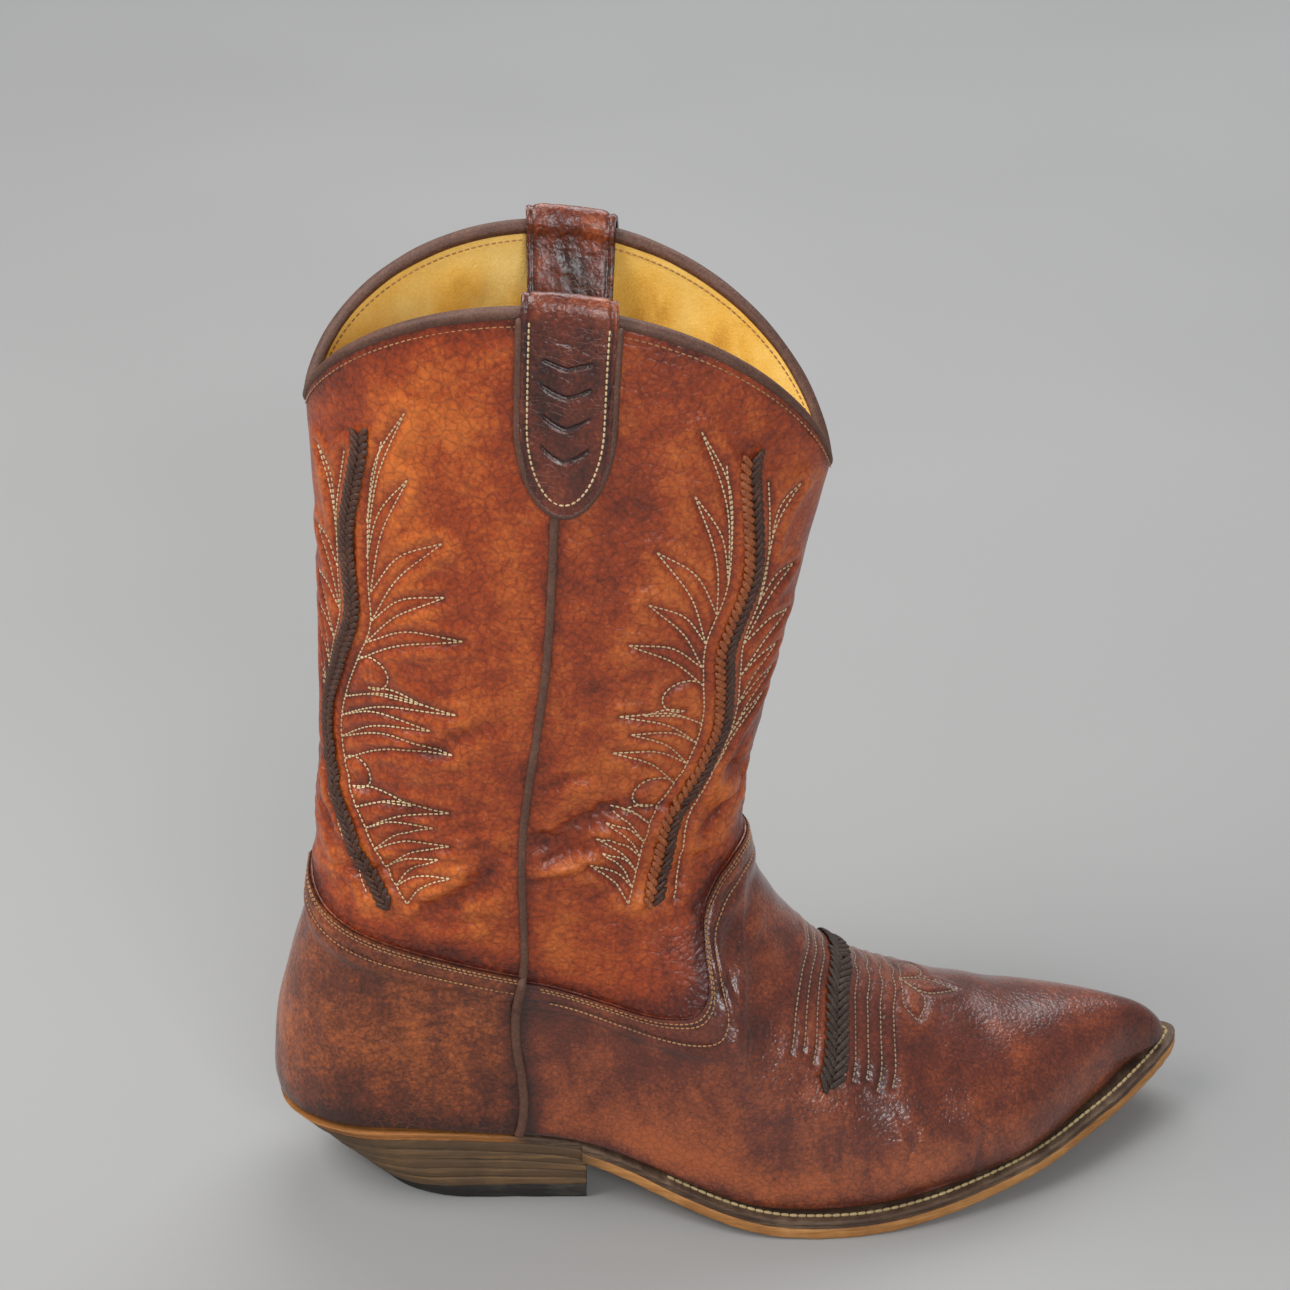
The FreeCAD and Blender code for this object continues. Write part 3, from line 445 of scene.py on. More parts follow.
def srgb(red, green, blue):
    """A colour from 0-255 display values."""
    return tuple(
        ((c / 255 + 0.055) / 1.055) ** 2.4 if c > 10 else c / 255 / 12.92 for c in (red, green, blue))


def leather_material(name, dark, middle, light, patch=26.0, grain=900.0, roughness=(0.34, 0.55),
                     coat=0.12, grain_bump=0.35, crack=0.0, crack_scale=160.0, crack_colour=None,
                     toned=True, contrast=1.0, pore_depth=0.55):
    """Full-grain leather: cloudy colour, fine dark mottling, pebble grain and creases."""
    n = Nodes(name)
    clouds = n.noise(patch, 3.0, 0.5)
    mottle = n.noise(patch * 6, 6.0, 0.7, 0.5)
    fleck = n.noise(grain, 4.0, 0.75, 0.3)
    mix = n.math("ADD", n.math("MULTIPLY", clouds, 0.24), n.math("MULTIPLY", mottle, 0.33))
    mix = n.math("ADD", mix, n.math("MULTIPLY", fleck, 0.43))
    mix = n.math("ADD", n.math("MULTIPLY", n.math("SUBTRACT", mix, 0.5), contrast * 1.45), 0.5)
    # The tone attribute moves the colour per point: random tone, rubbed leather, and the painted shade and
    # highlight that the pieces below work out from their relief, stitches, seams and edges.
    if toned:
        mix = n.math("ADD", mix, n.math("MULTIPLY", n.math("SUBTRACT", n.attribute("tone"), 0.5), 1.0))
    colour = n.ramp(mix, [(0.22, dark), (0.50, middle), (0.80, light)])
    pebble = n.cells(grain, "SMOOTH_F1")
    creases = n.cells(grain * 0.42, "DISTANCE_TO_EDGE")
    pores = n.ramp(creases, [(0.0, 0.50), (0.13, 1.0)])
    colour = n.mix(pore_depth, colour, pores, "MULTIPLY")
    normal = n.bump(pebble, grain_bump * 1.5, 0.0005)
    normal = n.bump(n.ramp(creases, [(0.0, 0.0), (0.12, 1.0)]), grain_bump * 0.6, 0.0003, normal)
    normal = n.bump(mottle, 0.22, 0.0012, normal)
    if crack > 0:
        split = n.cells(crack_scale, "DISTANCE_TO_EDGE", place=n.stretch((0.7, 0.7, 1.5)))
        line = n.ramp(split, [(0.0, 1.0), (0.035, 0.0)])
        where = n.ramp(n.noise(55.0, 4.0), [(0.44, 0.0), (0.66, 1.0)])
        line = n.math("MULTIPLY", n.math("MULTIPLY", line, where), crack)
        colour = n.mix(line, colour, crack_colour)
        normal = n.bump(line, 0.5, -0.0004, normal)
    rough = n.add("ShaderNodeMapRange")
    n.feed(rough.inputs["Value"], mottle)
    rough.inputs["To Min"].default_value = roughness[0]
    rough.inputs["To Max"].default_value = roughness[1]
    return n.finish(colour, rough.outputs[0], normal, coat=coat)


SHAFT = leather_material(
    "shaft_leather", srgb(82, 25, 10), srgb(155, 60, 18), srgb(208, 108, 38),
    patch=17.0, grain=640.0, roughness=(0.28, 0.50), coat=0.10, grain_bump=0.45, contrast=1.05)
VAMP = leather_material(
    "vamp_leather", srgb(48, 18, 11), srgb(104, 43, 24), srgb(172, 86, 42),
    patch=15.0, grain=820.0, roughness=(0.16, 0.34), coat=0.55, grain_bump=0.30, contrast=1.0)
COUNTER = leather_material(
    "counter_leather", srgb(58, 25, 15), srgb(112, 52, 28), srgb(184, 96, 42),
    patch=24.0, grain=700.0, roughness=(0.24, 0.44), coat=0.24, contrast=1.25, crack=0.45, crack_scale=240.0,
    crack_colour=srgb(178, 98, 48))
STRAP = leather_material(
    "strap_leather", srgb(46, 18, 12), srgb(104, 42, 24), srgb(164, 84, 44),
    patch=30.0, grain=800.0, roughness=(0.22, 0.4), coat=0.35, crack=0.6, crack_scale=330.0,
    crack_colour=srgb(170, 92, 52))
LINING = leather_material(
    "lining_leather", srgb(188, 126, 40), srgb(238, 188, 84), srgb(252, 218, 130),
    patch=20.0, grain=1500.0, roughness=(0.42, 0.6), coat=0.04, grain_bump=0.12, contrast=0.7, pore_depth=0.1)
TRIM = leather_material(
    "trim_leather", srgb(60, 38, 30), srgb(98, 64, 50), srgb(128, 90, 72),
    patch=60.0, grain=1600.0, roughness=(0.48, 0.66), coat=0.0, grain_bump=0.15, toned=False)
LACE_DARK = leather_material(
    "lace_dark", srgb(34, 18, 12), srgb(70, 38, 24), srgb(122, 76, 48),
    patch=220.0, grain=1800.0, roughness=(0.4, 0.6), coat=0.05, toned=False)
LACE_TAN = leather_material(
    "lace_tan", srgb(92, 42, 20), srgb(158, 82, 40), srgb(204, 130, 78),
    patch=220.0, grain=1800.0, roughness=(0.4, 0.6), coat=0.05, toned=False)
LACE_DUSTY = leather_material(
    "lace_dusty", srgb(26, 19, 16), srgb(58, 42, 34), srgb(112, 92, 76),
    patch=220.0, grain=1800.0, roughness=(0.6, 0.8), coat=0.0, toned=False)


def thread_material(name, colour, shade):
    """Waxed thread: twisted plies and a little dirt."""
    n = Nodes(name)
    twist = n.noise(1800.0, 2.0)
    dirt = n.noise(70.0, 3.0)
    mixed = n.mix(n.ramp(dirt, [(0.35, 0.0), (0.7, 0.75)]), colour, shade)
    return n.finish(mixed, 0.7, n.bump(twist, 0.5, 0.0002), specular=0.3, sheen=0.2)


THREAD = thread_material("thread_cream", srgb(226, 204, 160), srgb(176, 140, 96))
THREAD_WELT = thread_material("thread_welt", srgb(196, 172, 124), srgb(132, 108, 74))
THREAD_DIM = thread_material("thread_dusty", srgb(168, 142, 112), srgb(120, 92, 70))
THREAD_BROWN = thread_material("thread_brown", srgb(184, 134, 88), srgb(120, 76, 48))


def edge_leather_material(name, dark, middle, light, layers=0.0, roughness=0.62, stain=None):
    """Cut sole leather: long fibres along the edge, scuffs, and pressed layers.
    stain is a colour that the "tone" attribute brings in, from 0 to 1."""
    n = Nodes(name)
    fibres = n.noise(1.0, 6.0, 0.7, place=n.stretch((60.0, 60.0, 1100.0)))
    scuff = n.noise(48.0, 5.0, 0.65, 0.4)
    value = n.math("ADD", n.math("MULTIPLY", fibres, 0.5), n.math("MULTIPLY", scuff, 0.5))
    if layers > 0:
        bands = n.noise(1.0, 2.0, 0.5, place=n.stretch((7.0, 7.0, layers)))
        value = n.math("ADD", n.math("MULTIPLY", value, 0.6), n.math("MULTIPLY", bands, 0.4))
    colour = n.ramp(value, [(0.30, dark), (0.50, middle), (0.70, light)])
    if stain is not None:
        deep, pale = (tuple(c * share for c in stain) for share in (0.55, 1.5))
        stained = n.ramp(value, [(0.30, deep), (0.55, stain), (0.75, pale)])
        colour = n.mix(n.attribute("tone"), colour, stained)
    normal = n.bump(fibres, 0.35, 0.0004)
    normal = n.bump(scuff, 0.3, 0.0008, normal)
    return n.finish(colour, roughness, normal, specular=0.35)


OUTSOLE = edge_leather_material(
    "outsole_edge", srgb(120, 76, 38), srgb(172, 118, 64), srgb(204, 152, 94), stain=srgb(96, 74, 52))
WELT = edge_leather_material(
    "welt_leather", srgb(44, 30, 24), srgb(84, 64, 50), srgb(132, 110, 88), stain=srgb(160, 104, 54))
STACK = edge_leather_material(
    "heel_stack", srgb(60, 44, 32), srgb(98, 76, 54), srgb(148, 110, 68), layers=620.0)
RUBBER = edge_leather_material(
    "top_lift_rubber", srgb(24, 22, 20), srgb(44, 41, 38), srgb(86, 80, 72), roughness=0.75)
BOARD = edge_leather_material("insole_board", srgb(120, 84, 48), srgb(170, 128, 82), srgb(200, 160, 112))
CORK = edge_leather_material("filler_cork", srgb(84, 54, 30), srgb(140, 98, 60), srgb(182, 140, 96))


def metal_material():
    n = Nodes("shank_steel")
    brushed = n.noise(1.0, 5.0, 0.6, place=n.stretch((30.0, 900.0, 900.0)))
    colour = n.ramp(brushed, [(0.3, srgb(120, 118, 116)), (0.7, srgb(176, 174, 170))])
    material = n.finish(colour, 0.38, n.bump(brushed, 0.2, 0.0002))
    n.shader.inputs["Metallic"].default_value = 1.0
    return material


STEEL = metal_material()

# ---------------------------------------------------------------- lines that divide the upper

SEAM_HEIGHTS = [0.0, 0.16, 0.30, 0.37, 0.45, 0.70, 1.0]
SEAM_ANGLES = [62.0, 67.0, 76.0, 82.0, 86.0, 88.5, 89.5]
VAMP_EDGE_ANGLES = [70.0, 84.0, 97.0, 109.0, 120.0, 127.0, 132.0, 137.0, 145.0, 157.0, 180.0]
VAMP_EDGE_HEIGHTS = [0.365, 0.357, 0.338, 0.333, 0.352, 0.385, 0.428, 0.472, 0.508, 0.532, 0.545]
COUNTER_EDGE_ANGLES = [0.0, 20.0, 45.0, 65.0, 92.0]
COUNTER_EDGE_HEIGHTS = [0.455, 0.425, 0.402, 0.385, 0.357]
OVERLAP = 0.030
STEP_UP = 0.032
LEATHER = 1.7


def fold(angle):
    angle = np.asarray(angle, float) % 360.0
    return np.minimum(angle, 360.0 - angle)


def vamp_edge(angle):
    return curve(VAMP_EDGE_ANGLES, VAMP_EDGE_HEIGHTS, fold(angle))


def counter_edge(angle):
    return curve(COUNTER_EDGE_ANGLES, COUNTER_EDGE_HEIGHTS, fold(angle))


def seam_angle(height):
    return curve(SEAM_HEIGHTS, SEAM_ANGLES, height)


def front_angle(height, along):
    start = seam_angle(height)
    return start + (360.0 - 2 * start) * along


def back_angle(height, along):
    reach = seam_angle(height)
    return -reach + 2 * reach * along


def panel(angle_of, low_of, high_of, columns, rows):
    """Heights and angles of a panel between two margins, its columns running between the seams."""
    along = np.linspace(0, 1, columns)[:, None]
    up = np.linspace(0, 1, rows)[None]
    height = np.full((columns, rows), 0.4)
    for _ in range(6):
        angle = angle_of(height, along)
        low, high = low_of(angle), high_of(angle)
        height = low + (high - low) * up
    return height, angle_of(height, along)


# ---------------------------------------------------------------- stitched patterns

# The pattern is a plain western one, worked out from the braids: borders beside them, flames and
# curls between the borders and the side seam, rows across the instep and three leaves on the toe.
# A stroke is a line of (angle, height) points on the outer side. A unit is one millimetre on the
# leather, as degrees and as height.
BACK_BRAID_HEIGHTS = [0.46, 0.54, 0.62, 0.68, 0.75, 0.81, 0.87, 0.92]
BACK_BRAID_ANGLES = [50.0, 38.0, 25.0, 20.0, 27.0, 34.0, 32.5, 39.0]
FRONT_BRAID_HEIGHTS = [0.495, 0.55, 0.61, 0.66, 0.71, 0.76, 0.80, 0.86, 0.925]
FRONT_BRAID_ANGLES = [122.0, 127.0, 130.0, 136.0, 141.0, 139.0, 136.5, 141.0, 136.0]
VAMP_BRAID_ANGLES = [122.0, 132.0, 144.0, 159.0, 180.0]
VAMP_BRAID_HEIGHTS = [0.228, 0.262, 0.298, 0.328, 0.342]
SHAFT_UNIT = np.array([1.0, 0.0027])
VAMP_UNIT = np.array([1.4, 0.0020])
BORDER_GAP = 7.0
CURL_RADIUS = 6.5
CURL_ROOM = 2.1
LEAF_LENGTH = 21.0
ROW_START = 0.017
ROW_SPACING = 0.0105


def back_braid_line(level):
    return curve(BACK_BRAID_HEIGHTS, BACK_BRAID_ANGLES, level)


def front_braid_line(level):
    return curve(FRONT_BRAID_HEIGHTS, FRONT_BRAID_ANGLES, level)


def bowed(start, end, bow, unit):
    """A stroke between two points, its middle out to one side by a share of its length."""
    start, end = np.array(start, float), np.array(end, float)
    along = (end - start) / unit
    side = np.array([-along[1], along[0]]) * unit
    return [start, (start + end) / 2 + side * bow, end]


def curl(start, sense):
    """A round curl that leaves a border, goes out over its own middle and turns back under it."""
    turn = np.radians(np.linspace(150.0, -100.0, 10))
    around = np.stack([sense * np.cos(turn), np.sin(turn)], -1) * SHAFT_UNIT * CURL_RADIUS
    return list(np.array(start, float) - around[0] + around)


def flame_row(edge, sense, top, foot, count, limit, curls=()):
    """Flames down one side of a border: upright at the top, then leaning out towards the angle
    limit. Each is a stroke to its tip and a stroke back; a curl comes first where curls says."""
    room = np.array([CURL_ROOM if k in curls else 1.0 for k in range(count)])
    levels = top - (top - foot) * np.concatenate([[0.0], np.cumsum(room)]) / room.sum()
    strokes = []
    for k, (upper, lower) in enumerate(zip(levels[:-1], levels[1:])):
        down = k / (count - 1)
        start, end = (float(edge(upper)), upper), (float(edge(lower)), lower)
        share = (0.45 + 0.50 * float(ease(0.0, 0.25, down))) * (1.0 - 0.16 * (k % 2))
        reach = max(abs(limit - start[0]), 12.0) * share
        lift = 19.0 * (1 - down) ** 5 + 5.0 + 8.0 * down**2
        if k in curls:
            strokes.append(curl(start, sense))
            reach, lift, start = reach * 0.85, 0.0, strokes[-1][-1]
        tip = (edge(upper) + sense * reach, start[1] + lift * SHAFT_UNIT[1])
        strokes.append(bowed(start, tip, 0.13 * sense, SHAFT_UNIT))
        strokes.append(bowed(tip, end, -0.09 * sense, SHAFT_UNIT))
    return strokes


def shaft_pattern(braid_line, sense, foot, limit, curls, far_limit):
    """Both sides of a braid: long flames towards the side seam, short ones away from it."""
    def near(level):
        return braid_line(level) + sense * BORDER_GAP

    def far(level):
        return braid_line(level) - sense * BORDER_GAP

    level = np.linspace(0.925, foot, 12)
    strokes = [np.stack([edge(level), level], -1) for edge in (near, far)]
    strokes += flame_row(near, sense, 0.875, foot, 15, limit, curls)
    return strokes + flame_row(far, -sense, 0.875, 0.66, 6, far_limit)


def vamp_rows():
    """Rows across the instep from the ridge down, three behind the braid and four before it."""
    rows = []
    for side, count in ((1, 3), (-1, 4)):
        for k in range(count):
            angle = np.linspace(180.0, 127.0 + 2.5 * (k % 2), 9)
            height = curve(VAMP_BRAID_ANGLES, VAMP_BRAID_HEIGHTS, angle)
            height = height + side * (ROW_START + ROW_SPACING * k)
            rows.append(np.stack([angle, height], -1))
    return rows


def toe_leaves():
    """Three pointed leaves that spread from one point on the ridge towards the toe."""
    base = np.array([180.0, 0.288])
    strokes = []
    for lean in np.radians([-48.0, 0.0, 48.0]):
        tip = base + VAMP_UNIT * LEAF_LENGTH * (math.sin(lean), -math.cos(lean))
        strokes += [bowed(base, tip, bow, VAMP_UNIT) for bow in (0.17, -0.17)]
    return strokes


STROKES = {
    "back": shaft_pattern(back_braid_line, 1, 0.47, 70.0, (5, 9), 5.0),
    "front": shaft_pattern(front_braid_line, -1, 0.50, 107.0, (5, 9), 168.0),
    "vamp": vamp_rows(),
}
ONE_SIDED = {"vamp": toe_leaves()}
GROOVE = 0.55
STITCH_PITCH = 1.75
STITCH_LENGTH = 1.3
STITCH_WIDTH = 0.62


def skin_line(stroke):
    """A smooth line through (angle, z) points, as angles and heights."""
    angle, z = np.array(stroke, float).T
    return smooth_line(np.stack([angle, height_at_z(angle, z)], -1))


def on_skin(stroke, mirrored):
    """A stroke's path on the skin, on the outer side or mirrored to the inner one."""
    line = skin_line(stroke)
    return skin(line[:, 1], 360.0 - line[:, 0] if mirrored else line[:, 0])


KNOWN_LINES = {}


def all_lines(which):
    """Every stroke of a pattern on both sides of the boot: path, normals, heights and angles."""
    if which not in KNOWN_LINES:
        KNOWN_LINES[which] = []
        for mirrored in (False, True):
            strokes = STROKES[which] + ([] if mirrored else ONE_SIDED.get(which, []))
            for stroke in strokes:
                line = smooth_line(np.array(stroke))
                angle = 360.0 - line[:, 0] if mirrored else line[:, 0]
                height = line[:, 1]
                KNOWN_LINES[which].append((skin(height, angle), outward(height, angle), height, angle))
    return KNOWN_LINES[which]


KNOWN_TREES = {}


def tree_of(which):
    if which not in KNOWN_TREES:
        samples = np.concatenate([resample(path, 0.5)[0] for path, _, _, _ in all_lines(which)])
        tree = kdtree.KDTree(len(samples))
        for k, sample in enumerate(samples.tolist()):
            tree.insert(sample, k)
        tree.balance()
        KNOWN_TREES[which] = tree
    return KNOWN_TREES[which]


# ---------------------------------------------------------------- relief of the leather


def crease_field(points, seed, count, box, length, slope, depth, width):
    """Random soft creases in a region: a few lines of seeded place, each pressed in along its length.
    box is the lowest and highest corner of the region."""
    rng = np.random.default_rng(seed)
    low, high = np.asarray(box[0], float), np.asarray(box[1], float)
    total = np.zeros(points.shape[:-1])
    for _ in range(count):
        centre = rng.uniform(low, high)
        reach = rng.uniform(0.5, 1.0) * length
        tilt = rng.normal(0, slope)
        away = points - centre
        along = away[..., 0] * math.cos(tilt) + away[..., 2] * math.sin(tilt)
        across = -away[..., 0] * math.sin(tilt) + away[..., 2] * math.cos(tilt)
        across = across - 0.006 * rng.uniform(-1, 1) * along**2
        fade = np.exp(-(along / reach) ** 2) * np.exp(-(away[..., 1] / 30.0) ** 2)
        wide = width * rng.uniform(0.6, 1.4)
        banks = np.exp(-((np.abs(across) - 2.2 * wide) / (1.3 * wide)) ** 2)
        press = -np.exp(-(across / wide) ** 2) + 0.55 * banks
        total += rng.uniform(0.4, 1.0) * depth * press * fade
    return total


# Deep folds where the shaft bends at the ankle, as (angle, z) lines on the outer side, with their
# depth and width in millimetres. The inner side has the same ones.
ANKLE_FOLDS = [
    ([(86, 158), (96, 152), (106, 160), (116, 168)], 2.2, 5.0),
    ([(87, 142), (98, 146), (110, 150), (122, 158)], 1.2, 2.4),
    ([(88, 136), (100, 138), (113, 144)], 1.0, 2.0),
    ([(89, 170), (97, 176), (106, 178)], 0.8, 2.0),
    ([(50, 178), (60, 183), (72, 192), (86, 200)], 1.0, 2.6),
    ([(56, 121), (66, 124), (76, 134), (84, 150)], 1.8, 4.0),
    ([(60, 116), (70, 118), (82, 124)], 1.0, 2.4),
    ([(8, 150), (20, 146), (32, 136), (38, 126)], 1.3, 3.2),
    ([(10, 168), (20, 166), (30, 158)], 0.8, 2.4),
    ([(148, 172), (158, 164), (170, 160)], 1.6, 3.6),
    ([(140, 140), (150, 150), (164, 156), (176, 158)], 1.4, 3.0),
]
SHAFT_FOLDS = [on_skin(fold_line, side) for side in (False, True) for fold_line, _, _ in ANKLE_FOLDS]
FOLD_SIZES = [(depth, width) for _ in range(2) for _, depth, width in ANKLE_FOLDS]


def folds(points):
    """Pressed folds with a raised lip on each side, fading at their ends."""
    total = np.zeros(points.shape[:-1])
    for line, (depth, width) in zip(SHAFT_FOLDS, FOLD_SIZES):
        line = line[::3]
        away = np.full(points.shape[:-1], 1e9)
        where = np.zeros(points.shape[:-1])
        near = np.all((points > line.min(0) - 4 * width) & (points < line.max(0) + 4 * width), axis=-1)
        if not near.any():
            continue
        some = points[near]
        distance = np.linalg.norm(some[:, None] - line[None], axis=-1)
        closest = distance.argmin(1)
        away[near], where[near] = distance.min(1), closest / max(len(line) - 1, 1)
        fade = ease(0.0, 0.25, where) * (1 - ease(0.75, 1.0, where))
        press = -np.exp(-(away / width) ** 2) + 0.5 * np.exp(-((away - 2.1 * width) / (1.1 * width)) ** 2)
        total += depth * press * np.where(near, fade, 0)
    return total


def shaft_relief(points, which):
    """Puffed leather between stitch lines, ankle folds and gentle unevenness, in millimetres."""
    distance = nearest(tree_of(which), points)
    relief = -GROOVE * np.exp(-(distance / 0.9) ** 2)
    relief += 0.80 * np.exp(-((distance - 3.4) / 2.3) ** 2)
    z = points[..., 2]
    relief += folds(points)
    ankle = ease(112, 128, z) * (1 - ease(150, 196, z))
    upper = ease(180, 230, z)
    relief += 0.30 * wave(points, 62.0, 11)
    relief += ankle * (0.45 * wave(points * np.array([0.45, 0.6, 1.0]), 17.0, 12))
    relief += ankle * 0.20 * wave(points * np.array([0.4, 0.6, 1.0]), 5.0, 13)
    relief += upper * 0.22 * wave(points, 24.0, 14)
    for side, seed in ((-1, 21), (1, 22)):
        box = ((-46, 34 * side - 6, 118), (86, 34 * side + 6, 172))
        relief += crease_field(points, seed, 26, box, 24.0, 0.35, 0.62, 1.5)
        box = ((-40, 38 * side - 6, 180), (96, 38 * side + 6, 300))
        relief += crease_field(points, seed + 4, 12, box, 26.0, 0.6, 0.16, 1.3)
    return relief, distance


def shade(relief, distance, points, base=0.5):
    """How light the leather is: rubbed where it stands proud, with painted shade in creases and near
    stitches.
    """
    tone = base + 0.11 * np.clip(relief, -2.0, 1.6)
    tone = tone - 0.10 * np.exp(-(distance / 1.2) ** 2)
    return tone + 0.06 * wave(points, 38.0, 31) + 0.03 * wave(points, 12.0, 32)


def rim_drop(columns, rows, drop=0.45):
    """Rounds the outer face down at a piece's four edges."""
    amount = np.zeros((columns, rows))
    for ring, share in ((0, 1.0), (1, 0.35), (2, 0.08)):
        amount[ring, :] = np.maximum(amount[ring, :], share)
        amount[-1 - ring, :] = np.maximum(amount[-1 - ring, :], share)
        amount[:, ring] = np.maximum(amount[:, ring], share)
        amount[:, -1 - ring] = np.maximum(amount[:, -1 - ring], share)
    return -drop * amount


# ---------------------------------------------------------------- the shaft


def shaft_panel(name, which, angle_of, edge, columns, rows, node):
    height, angle = panel(angle_of, lambda a: edge(a) - OVERLAP, lambda a: np.ones_like(a), columns, rows)
    points, normals = skin(height, angle), outward(height, angle)
    relief, distance = shaft_relief(points, which)
    relief = relief * ease(0, 0.03, 1 - height) * ease(0.0, 0.02, height - edge(angle))
    tone = shade(relief, distance, points, 0.52)
    # Painted shade under the rolled binding along the topline, and under the lower panel's edge where it
    # overlaps.
    tone = tone - 0.20 * np.exp(-(((1 - height) * 300) / 7.0) ** 2)
    tone = tone - 0.30 * np.exp(-((height - edge(angle)) * 300 / 9.0) ** 2)
    seam_gap = np.minimum(np.abs(fold(angle) - seam_angle(height)) * 1.1, 99)
    relief = relief * (0.35 + 0.65 * ease(0.5, 5.0, seam_gap))
    # Painted shade beside the side seam piping.
    tone = tone - 0.15 * np.exp(-(seam_gap / 3.0) ** 2)
    outer = points + normals * (relief + rim_drop(columns, rows, 0.3))[..., None]
    inner = points - normals * 1.75
    piece = shell(name, outer, inner, SHAFT, tone)
    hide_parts(node)
    return piece


def shaft_lining(name, angle_of, edge, node, seed):
    columns, rows = 150, 150
    height, angle = panel(
        angle_of, lambda a: edge(a) - OVERLAP, lambda a: np.full_like(a, 0.999), columns, rows)
    points, normals = skin(height, angle), outward(height, angle)
    wrinkle = 0.65 * wave(points, 24.0, seed) + 0.30 * np.abs(wave(points, 13.0, seed + 1))
    wrinkle = wrinkle * ease(0.0, 0.05, 1 - height)
    ridge = np.clip(wave(points * np.array([1.0, 1.0, 0.7]), 34.0, seed + 2), 0, 2)
    wrinkle = wrinkle - 0.5 * np.exp(-((ridge - 0.7) / 0.14) ** 2) * ease(0.0, 0.05, 1 - height)
    # The lining's tone follows its wrinkles, a painted shading of their relief, with a random tone on top.
    tone = 0.62 - 0.26 * wrinkle + 0.10 * wave(points, 50.0, seed + 3)
    # Painted shade: darker lower down, deeper inside the boot.
    tone = tone - 0.25 * (1 - ease(0.45, 0.8, height))
    inside = points - normals * (3.15 + np.clip(wrinkle, -0.4, 1.2))[..., None]
    outside = points - normals * 1.9
    piece = shell(name, outside, inside, LINING, tone)
    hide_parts(node)


shaft_panel("shaft_front_leather", "front", front_angle, vamp_edge, 250, 290, "shaft_front")
shaft_panel("shaft_back_leather", "back", back_angle, counter_edge, 250, 290, "shaft_back")
shaft_lining("shaft_front_lining", front_angle, vamp_edge, "shaft_lining_front", 41)
shaft_lining("shaft_back_lining", back_angle, counter_edge, "shaft_lining_back", 51)

# ---------------------------------------------------------------- vamp and counter


def stitched_row(edge, low, high, drop, steps=220):
    """A line along a panel's top edge, drop below it as a height on the skin, between two angles."""
    angle = np.linspace(low, high, steps)
    height = edge(angle) - drop
    return height, angle


def lift_of(edge, height, angle):
    """How far a lower panel stands off the skin where it overlaps the shaft."""
    top = edge(angle)
    return (LEATHER + 0.1) * ease(top - OVERLAP - STEP_UP, top - OVERLAP - 0.010, height)


def vamp_relief(points, height):
    distance = nearest(tree_of("vamp"), points)
    relief = -0.34 * np.exp(-(distance / 0.9) ** 2) + 0.36 * np.exp(-((distance - 2.6) / 1.7) ** 2)
    x, z = points[..., 0], points[..., 2]
    relief += 0.30 * wave(points, 58.0, 61)
    waist = ease(15, 45, x) * (1 - ease(95, 125, x))
    relief += waist * 0.22 * wave(points * np.array([1.0, 1.0, 0.6]), 16.0, 62)
    flex = ease(88, 112, x) * (1 - ease(165, 195, x)) * (1 - ease(0.20, 0.27, height))
    relief += flex * 0.42 * wave(points * np.array([1.0, 0.35, 0.45]), 15.0, 63)
    for side, seed in ((-1, 71), (1, 72)):
        rng = np.random.default_rng(seed)
        for _ in range(14):
            start = rng.uniform(95, 172)
            lean = rng.uniform(-0.5, 0.35)
            line = x - start - lean * (z - 25)
            band = np.exp(-((z - rng.uniform(18, 34)) / rng.uniform(7, 13)) ** 2)
            wide = rng.uniform(0.8, 1.5)
            banks = np.exp(-((np.abs(line) - 2.4 * wide) / (1.4 * wide)) ** 2)
            press = -np.exp(-(line / wide) ** 2) + 0.5 * banks
            side_only = ease(0, 14, side * (points[..., 1] - curve(RIDGE_X, RIDGE_Y, x)))
            relief += rng.uniform(0.25, 0.6) * press * band * side_only
    toe = ease(165, 205, x)
    relief = relief * (1 - 0.75 * toe)
    instep = np.exp(-((x - 82) / 12.0) ** 2) * ease(70, 100, z)
    relief += instep * 0.5 * wave(points * np.array([1.0, 0.5, 1.0]), 13.0, 64)
    return relief, distance


def lower_panel(name, node, angle_of, edge, columns, rows, material, relief_of, base):
    height, angle = panel(angle_of, lambda a: np.full_like(a, 0.012), edge, columns, rows)
    points, normals = skin(height, angle), outward(height, angle)
    relief, distance = relief_of(points, height)
    top = edge(angle)
    below = (top - height) * 300
    relief = relief * ease(0.5, 9.0, below)
    rows_down = np.minimum(np.abs(below - 2.2), np.abs(below - 9.2))
    relief = relief - 0.30 * np.exp(-(rows_down / 0.8) ** 2) + 0.25 * np.exp(-((below - 5.6) / 2.0) ** 2)
    seam_gap = np.abs(fold(angle) - seam_angle(height)) * 1.1
    relief = relief * ease(0.0, 3.0, seam_gap)
    relief = relief * ease(0.0, 4.0, (height - 0.012) * 300)
    # Painted shade in creases, along the edge stitch rows and beside the side seam piping; base brings in the
    # panel's own painted light.
    tone = shade(relief, np.minimum(distance, rows_down + 0.3), points, base(points))
    tone = tone - 0.22 * np.exp(-(seam_gap / 2.5) ** 2)
    lift = lift_of(edge, height, angle)
    outer = points + normals * (lift + relief + rim_drop(columns, rows))[..., None]
    inner = points + normals * (lift - LEATHER)[..., None]
    piece = shell(name, outer, inner, material, tone)
    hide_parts(node)
    return piece


